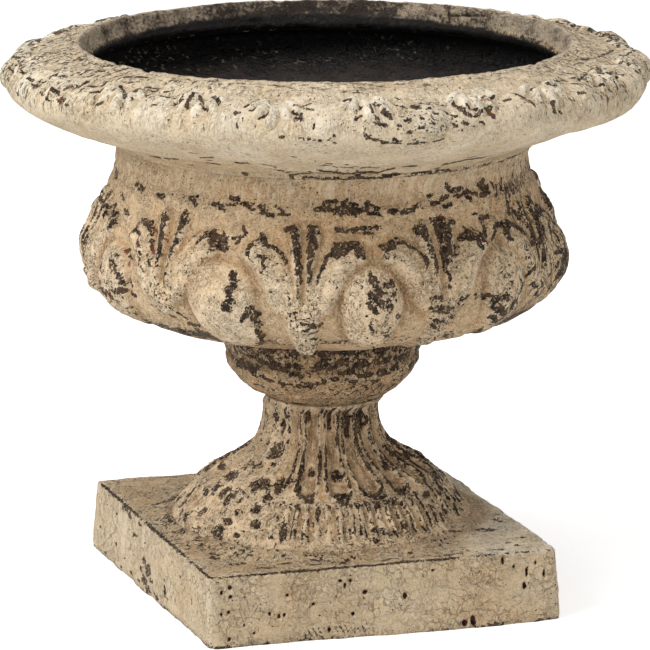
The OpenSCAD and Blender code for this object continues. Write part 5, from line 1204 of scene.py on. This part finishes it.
    # painted highlights: pale flecks, the crinkles' pale lines and a pale edge round each worn patch, coloured as if
    # they catch the light
    fleck = n.ramp(n.noise(pos, 520, 3, 0.65, 0.8), 0.55, 0.64)
    col = n.mix(n.math("MULTIPLY", n.math("MULTIPLY", fleck, n.math("ADD", 0.30, grain)), 0.72, clamp=True), col, srgb(239, 224, 196))
    col = n.mix(n.math("MULTIPLY", pale, 0.62), col, srgb(237, 221, 191))
    halo = n.ramp(patch, -0.12, -0.03)
    col = n.mix(n.math("MULTIPLY", halo, 0.42), col, srgb(229, 210, 179))
    strength, tint = {"rim": (0.40, (96, 77, 59)), "plinth": (0.60, (96, 77, 59)), "bowl": (0.66, (104, 82, 60)), "foot": (0.62, (92, 71, 53))}.get(kind, (0.82, (84, 62, 44)))
    col = n.mix(n.math("MULTIPLY", line, strength), col, srgb(*tint))
    if kind in ("bowl", "collar", "foot"):
        # warmer below the rim
        col = n.mix(1.0, col, (1.03, 0.97, 0.915), "MULTIPLY")
    # undercoat, blackest along the edge of each patch
    inner = n.math("MULTIPLY", n.ramp(patch, 0.06, 0.20), n.ramp(n.noise(pos, 240, 4, 0.65), 0.40, 0.58))
    dk = n.mix(inner, DARK, srgb(101, 74, 46) if kind == "collar" else DARK2)
    col = n.mix(dark, col, dk)
    # a few rust-brown spots
    bent = n.node("ShaderNodeVectorMath", operation="ADD")
    n.link(pos, bent.inputs[0])
    n.link(n.scaled(n.noise(pos, 300, 2, 0.5, 0.0, "Color"), 0.006), bent.inputs[1])
    vr = n.voronoi(n.scaled(bent.outputs[0], (1.0, 1.0, 0.5)), 85)
    rnd = n.node("ShaderNodeSeparateColor")
    n.link(vr.outputs["Color"], rnd.inputs[0])
    rust = n.math("MULTIPLY", n.ramp(vr.outputs["Distance"], 0.15, 0.09), n.ramp(rnd.outputs[0], 0.945, 0.95), clamp=True)
    col = n.mix(n.math("MULTIPLY", rust, 0.9), col, RUST)
    if kind in ("rim", "bowl"):
        stain = n.math("ADD", n.attr("rust"), n.math("MULTIPLY", n.math("SUBTRACT", jag, 0.5), 1.2))
        col = n.mix(n.math("MULTIPLY", n.ramp(stain, 0.42, 0.60), 0.66 if kind == "rim" else 0.82), col, srgb(126, 54, 32))

    height = n.math("MULTIPLY", crust, 0.55)
    height = n.math("ADD", height, n.math("MULTIPLY", crust2, 0.60))
    height = n.math("ADD", height, n.math("MULTIPLY", pale, 0.25))
    height = n.math("SUBTRACT", height, n.math("MULTIPLY", line, 0.35))
    height = n.math("SUBTRACT", height, n.math("MULTIPLY", dark, 0.42))
    if kind == "plinth":
        side = n.attr("side")
        # crackle
        bend = n.node("ShaderNodeVectorMath", operation="ADD")
        n.link(pos, bend.inputs[0])
        n.link(n.scaled(n.noise(pos, 75, 4, 0.65, 0.0, "Color"), 0.016), bend.inputs[1])
        cr = n.voronoi(bend.outputs[0], 155, "DISTANCE_TO_EDGE")
        split = n.ramp(cr.outputs["Distance"], 0.050, 0.015)
        seen = n.ramp(n.noise(pos, 42, 3, 0.6), 0.42, 0.57)
        split = n.math("MULTIPLY", n.math("MULTIPLY", split, seen), side, clamp=True)
        col = n.mix(n.math("MULTIPLY", split, 0.48), col, srgb(104, 82, 62))
        height = n.math("SUBTRACT", height, n.math("MULTIPLY", split, 0.35))
        pin = n.attr("pin")
        tint = n.mix(n.ramp(n.noise(pos, 260, 2, 0.5), 0.45, 0.58), srgb(24, 16, 12), srgb(92, 38, 22))
        col = n.mix(n.ramp(pin, 0.35, 0.75), col, tint)
    rough = n.mixf(dark, 0.84, 0.60)
    if kind == "rim":
        lip = n.attr("lip")
        # fine dark lines that run round the crest and the lip
        round_ = n.noise(n.scaled(cyl, (0.24, 0.24, 1.0)), 520, 3, 0.62, 0.3)
        lines = n.math("MULTIPLY", n.ramp(round_, 0.560, 0.600), n.attr("ring"), clamp=True)
        col = n.mix(n.math("MULTIPLY", lines, 0.80), col, srgb(74, 59, 47))
        grey = n.mix(n.ramp(n.noise(pos, 90, 4, 0.6), 0.35, 0.65), srgb(138, 126, 111), srgb(186, 173, 155))
        col = n.mix(n.math("MULTIPLY", n.math("MULTIPLY", lip, 0.6), n.math("SUBTRACT", 1.0, dark)), col, grey)
        # the lip's inner face darkened in cloudy patches, most at the back
        lip_mottle = n.mixf(0.5, n.noise(n.scaled(cyl, (0.5, 0.5, 1.0)), 160, 5, 0.68), n.noise(pos, 420, 4, 0.65))
        lip_darkening = n.math("ADD", n.attr("lip_darkening"), n.math("MULTIPLY", n.math("SUBTRACT", lip_mottle, 0.5), 2.2))
        col = n.mix(n.math("MULTIPLY", n.ramp(lip_darkening, 0.20, 0.66), n.ramp(n.attr("lip_darkening"), 0.02, 0.12)), col, srgb(60, 50, 43))
        black = n.attr("black")
        col = n.mix(black, col, srgb(24, 19, 16))
        rough = n.mixf(black, rough, 0.36)
    bump = n.node("ShaderNodeBump")
    bump.inputs["Strength"].default_value = 1.0
    bump.inputs["Distance"].default_value = 0.0018
    n.link(height, bump.inputs["Height"])
    bsdf = n.node("ShaderNodeBsdfPrincipled")
    n.link(col, bsdf.inputs["Base Color"])
    n.link(rough, bsdf.inputs["Roughness"])
    bsdf.inputs["Specular IOR Level"].default_value = 0.32
    n.link(bump.outputs[0], bsdf.inputs["Normal"])
    out = n.node("ShaderNodeOutputMaterial")
    n.link(bsdf.outputs[0], out.inputs[0])
    return n.mat


def bitumen():
    n = Net("bitumen")
    pos = n.node("ShaderNodeTexCoord").outputs["Object"]
    shaded_lumpy_band = n.attr("rough")
    grime = n.noise(pos, 60, 5, 0.65, 0.5)
    col = n.mix(n.ramp(grime, 0.35, 0.7), srgb(21, 15, 11), srgb(47, 35, 26))
    # painted shade: the lumpy band high under the lip is coloured near black, where the lip overhangs it
    col = n.mix(n.math("MULTIPLY", shaded_lumpy_band, 0.9), col, srgb(6, 4, 3))
    dust = n.ramp(n.noise(pos, 480, 3, 0.65), 0.66, 0.72)
    col = n.mix(n.math("MULTIPLY", dust, 0.35), col, srgb(120, 102, 84))
    # painted glints: pale specks coloured in on the lumpy band
    glint = n.math("MULTIPLY", n.ramp(n.noise(pos, 300, 3, 0.6, 0.6), 0.61, 0.65), n.ramp(n.noise(pos, 26, 2, 0.5), 0.48, 0.57))
    col = n.mix(n.math("MULTIPLY", n.math("MULTIPLY", glint, shaded_lumpy_band), 0.8, clamp=True), col, srgb(176, 164, 148))
    fine = n.noise(pos, 380, 4, 0.7, 0.8)
    height = n.math("ADD", n.math("MULTIPLY", fine, n.mixf(shaded_lumpy_band, 0.6, 1.4)), n.math("MULTIPLY", grime, 0.8))
    bump = n.node("ShaderNodeBump")
    bump.inputs["Strength"].default_value = 1.0
    bump.inputs["Distance"].default_value = 0.0016
    n.link(height, bump.inputs["Height"])
    rough = n.ramp(n.noise(pos, 140, 4, 0.6), 0.35, 0.65, 0.26, 0.60)
    bsdf = n.node("ShaderNodeBsdfPrincipled")
    n.link(col, bsdf.inputs["Base Color"])
    n.link(rough, bsdf.inputs["Roughness"])
    bsdf.inputs["Specular IOR Level"].default_value = 0.5
    n.link(bump.outputs[0], bsdf.inputs["Normal"])
    out = n.node("ShaderNodeOutputMaterial")
    n.link(bsdf.outputs[0], out.inputs[0])
    return n.mat


def mortar():
    n = Net("bed_mortar")
    pos = n.node("ShaderNodeTexCoord").outputs["Object"]
    a = n.noise(pos, 240, 5, 0.65)
    col = n.mix(n.ramp(a, 0.38, 0.62), srgb(128, 104, 80), srgb(186, 162, 130))
    col = n.mix(n.ramp(n.noise(pos, 130, 4, 0.65), 0.52, 0.57), col, srgb(52, 43, 36))
    bump = n.node("ShaderNodeBump")
    bump.inputs["Distance"].default_value = 0.0008
    n.link(n.noise(pos, 600, 4, 0.6), bump.inputs["Height"])
    bsdf = n.node("ShaderNodeBsdfPrincipled")
    n.link(col, bsdf.inputs["Base Color"])
    bsdf.inputs["Roughness"].default_value = 0.95
    n.link(bump.outputs[0], bsdf.inputs["Normal"])
    out = n.node("ShaderNodeOutputMaterial")
    n.link(bsdf.outputs[0], out.inputs[0])
    return n.mat


def metal():
    n = Net("zinc")
    pos = n.node("ShaderNodeTexCoord").outputs["Object"]
    a = n.noise(pos, 160, 4, 0.6)
    col = n.mix(n.ramp(a, 0.3, 0.7), srgb(150, 150, 148), srgb(196, 196, 194))
    bump = n.node("ShaderNodeBump")
    bump.inputs["Distance"].default_value = 0.0002
    n.link(n.noise(pos, 900, 2, 0.5), bump.inputs["Height"])
    bsdf = n.node("ShaderNodeBsdfPrincipled")
    n.link(col, bsdf.inputs["Base Color"])
    bsdf.inputs["Metallic"].default_value = 1.0
    n.link(n.ramp(a, 0.3, 0.7, 0.34, 0.5), bsdf.inputs["Roughness"])
    n.link(bump.outputs[0], bsdf.inputs["Normal"])
    out = n.node("ShaderNodeOutputMaterial")
    n.link(bsdf.outputs[0], out.inputs[0])
    return n.mat


def rubber():
    n = Net("seal_rubber")
    pos = n.node("ShaderNodeTexCoord").outputs["Object"]
    col = n.mix(n.ramp(n.noise(pos, 300, 3, 0.6), 0.3, 0.7), srgb(28, 28, 28), srgb(44, 43, 42))
    bsdf = n.node("ShaderNodeBsdfPrincipled")
    n.link(col, bsdf.inputs["Base Color"])
    bsdf.inputs["Roughness"].default_value = 0.7
    out = n.node("ShaderNodeOutputMaterial")
    n.link(bsdf.outputs[0], out.inputs[0])
    return n.mat


def finish(ob, mat, slot, *nodes):
    ob.data.materials.clear()
    ob.data.materials.append(mat)
    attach(ob, "root")
    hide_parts(*nodes)
    return ob


# ------------------------------------------------------------------ build
K = 1.0
m_rim, m_bowl = paint("paint_rim", "rim"), paint("paint_bowl", "bowl")
m_collar, m_foot, m_plinth = paint("paint_collar", "collar"), paint("paint_foot", "foot"), paint("paint_plinth", "plinth")
m_black = bitumen()

finish(revolved("carved_rim", rim_line, int(1200 * K), rim_relief, 175), m_rim, "painted_stone", "rim_ring")
finish(revolved("carved_bowl", bowl_line, int(960 * K), bowl_relief_rev, 140), m_bowl, "painted_stone", "bowl")
finish(revolved("torus_collar", collar_line, int(440 * K), collar_relief, 55), m_collar, "painted_stone", "collar")
finish(revolved("fluted_stem", foot_line, int(720 * K), foot_relief, 60), m_foot, "painted_stone", "fluted_foot")
finish(plinth(), m_plinth, "painted_stone", "plinth")
finish(revolved("black_coat", coat_line, int(360 * K), coat_relief, 120), m_black, "bitumen_coat", "waterproof_coat")

looks = {"rim_mortar_bed": mortar, "bowl_mortar_bed": mortar, "collar_mortar_bed": mortar, "foot_mortar_bed": mortar,
         "floor_mastic_plug": lambda: m_black, "tie_rod": metal, "top_nut": metal, "top_washer": metal,
         "bottom_nut": metal, "bottom_washer": metal, "top_rubber_seal": rubber}
made = {}
for node, make in looks.items():
    if make not in made:
        made[make] = make()
    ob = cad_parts[node]
    for slot_ in ob.material_slots:
        slot_.material = made[make]

# ------------------------------------------------------------------ floor, light and camera
fl = bpy.data.meshes.new("floor")
S = 14.0
fl.from_pydata([(-S, -S, 0), (S, -S, 0), (S, S, 0), (-S, S, 0)], [], [(0, 1, 2, 3)])
floor = bpy.data.objects.new("floor", fl)
bpy.context.scene.collection.objects.link(floor)
fm = bpy.data.materials.new("floor")
fm.use_nodes = True
fb = fm.node_tree.nodes["Principled BSDF"]
fb.inputs["Base Color"].default_value = (0.88, 0.88, 0.875, 1)
fb.inputs["Roughness"].default_value = 0.9
fb.inputs["Specular IOR Level"].default_value = 0.1
fm_tree = fm.node_tree
seen = fm_tree.nodes.new("ShaderNodeLightPath")
glow = fm_tree.nodes.new("ShaderNodeEmission")
glow.inputs["Color"].default_value = (1, 1, 1, 1)
level = fm_tree.nodes.new("ShaderNodeMath")
level.operation = "MULTIPLY"
level.inputs[1].default_value = 0.50
fm_tree.links.new(seen.outputs["Is Camera Ray"], level.inputs[0])
fm_tree.links.new(level.outputs[0], glow.inputs["Strength"])
both = fm_tree.nodes.new("ShaderNodeAddShader")
fm_tree.links.new(fb.outputs[0], both.inputs[0])
fm_tree.links.new(glow.outputs[0], both.inputs[1])
fm_tree.links.new(both.outputs[0], fm_tree.nodes["Material Output"].inputs["Surface"])
fl.materials.append(fm)

world = bpy.data.worlds.new("world")
bpy.context.scene.world = world
world.use_nodes = True
world.node_tree.nodes["Background"].inputs[0].default_value = (1.0, 1.0, 1.0, 1)
world.node_tree.nodes["Background"].inputs[1].default_value = 0.46


def area(name, where, size, power, target=(0, 0, 0.2), colour=(1, 1, 1)):
    li = bpy.data.lights.new(name, "AREA")
    li.shape = "RECTANGLE"
    li.size, li.size_y = size
    li.energy = power
    li.color = colour
    ob = bpy.data.objects.new(name, li)
    ob.location = where
    d = [t - w for t, w in zip(target, where)]
    from mathutils import Vector

    ob.rotation_euler = Vector(d).to_track_quat("-Z", "Y").to_euler()
    bpy.context.scene.collection.objects.link(ob)
    return ob


def seen_from(front_deg, dist, z):
    """A place at a front angle, a distance from the axis and a height, in metres."""
    a = math.radians(front_deg - 90) - TURN
    return (dist * math.cos(a), dist * math.sin(a), z)


area("key", seen_from(-58, 2.4, 2.1), (1.6, 1.6), 55)
area("fill", seen_from(40, 3.0, 1.6), (2.4, 2.0), 10)
area("top", (0, 0, 3.2), (3.0, 3.0), 28)

cam = bpy.data.cameras.new("camera")
cam.sensor_width = 36
cam.lens = 236.88
cam.clip_start, cam.clip_end = 0.05, 60
cob = bpy.data.objects.new("camera", cam)
cob.location = seen_from(0, 2.6051, 0.78706)
cob.rotation_euler = (math.pi / 2 - 0.2338, 0, -TURN)
bpy.context.scene.collection.objects.link(cob)
bpy.context.scene.camera = cob
bpy.context.scene.view_settings.view_transform = "Standard"
bpy.context.scene.view_settings.look = "None"
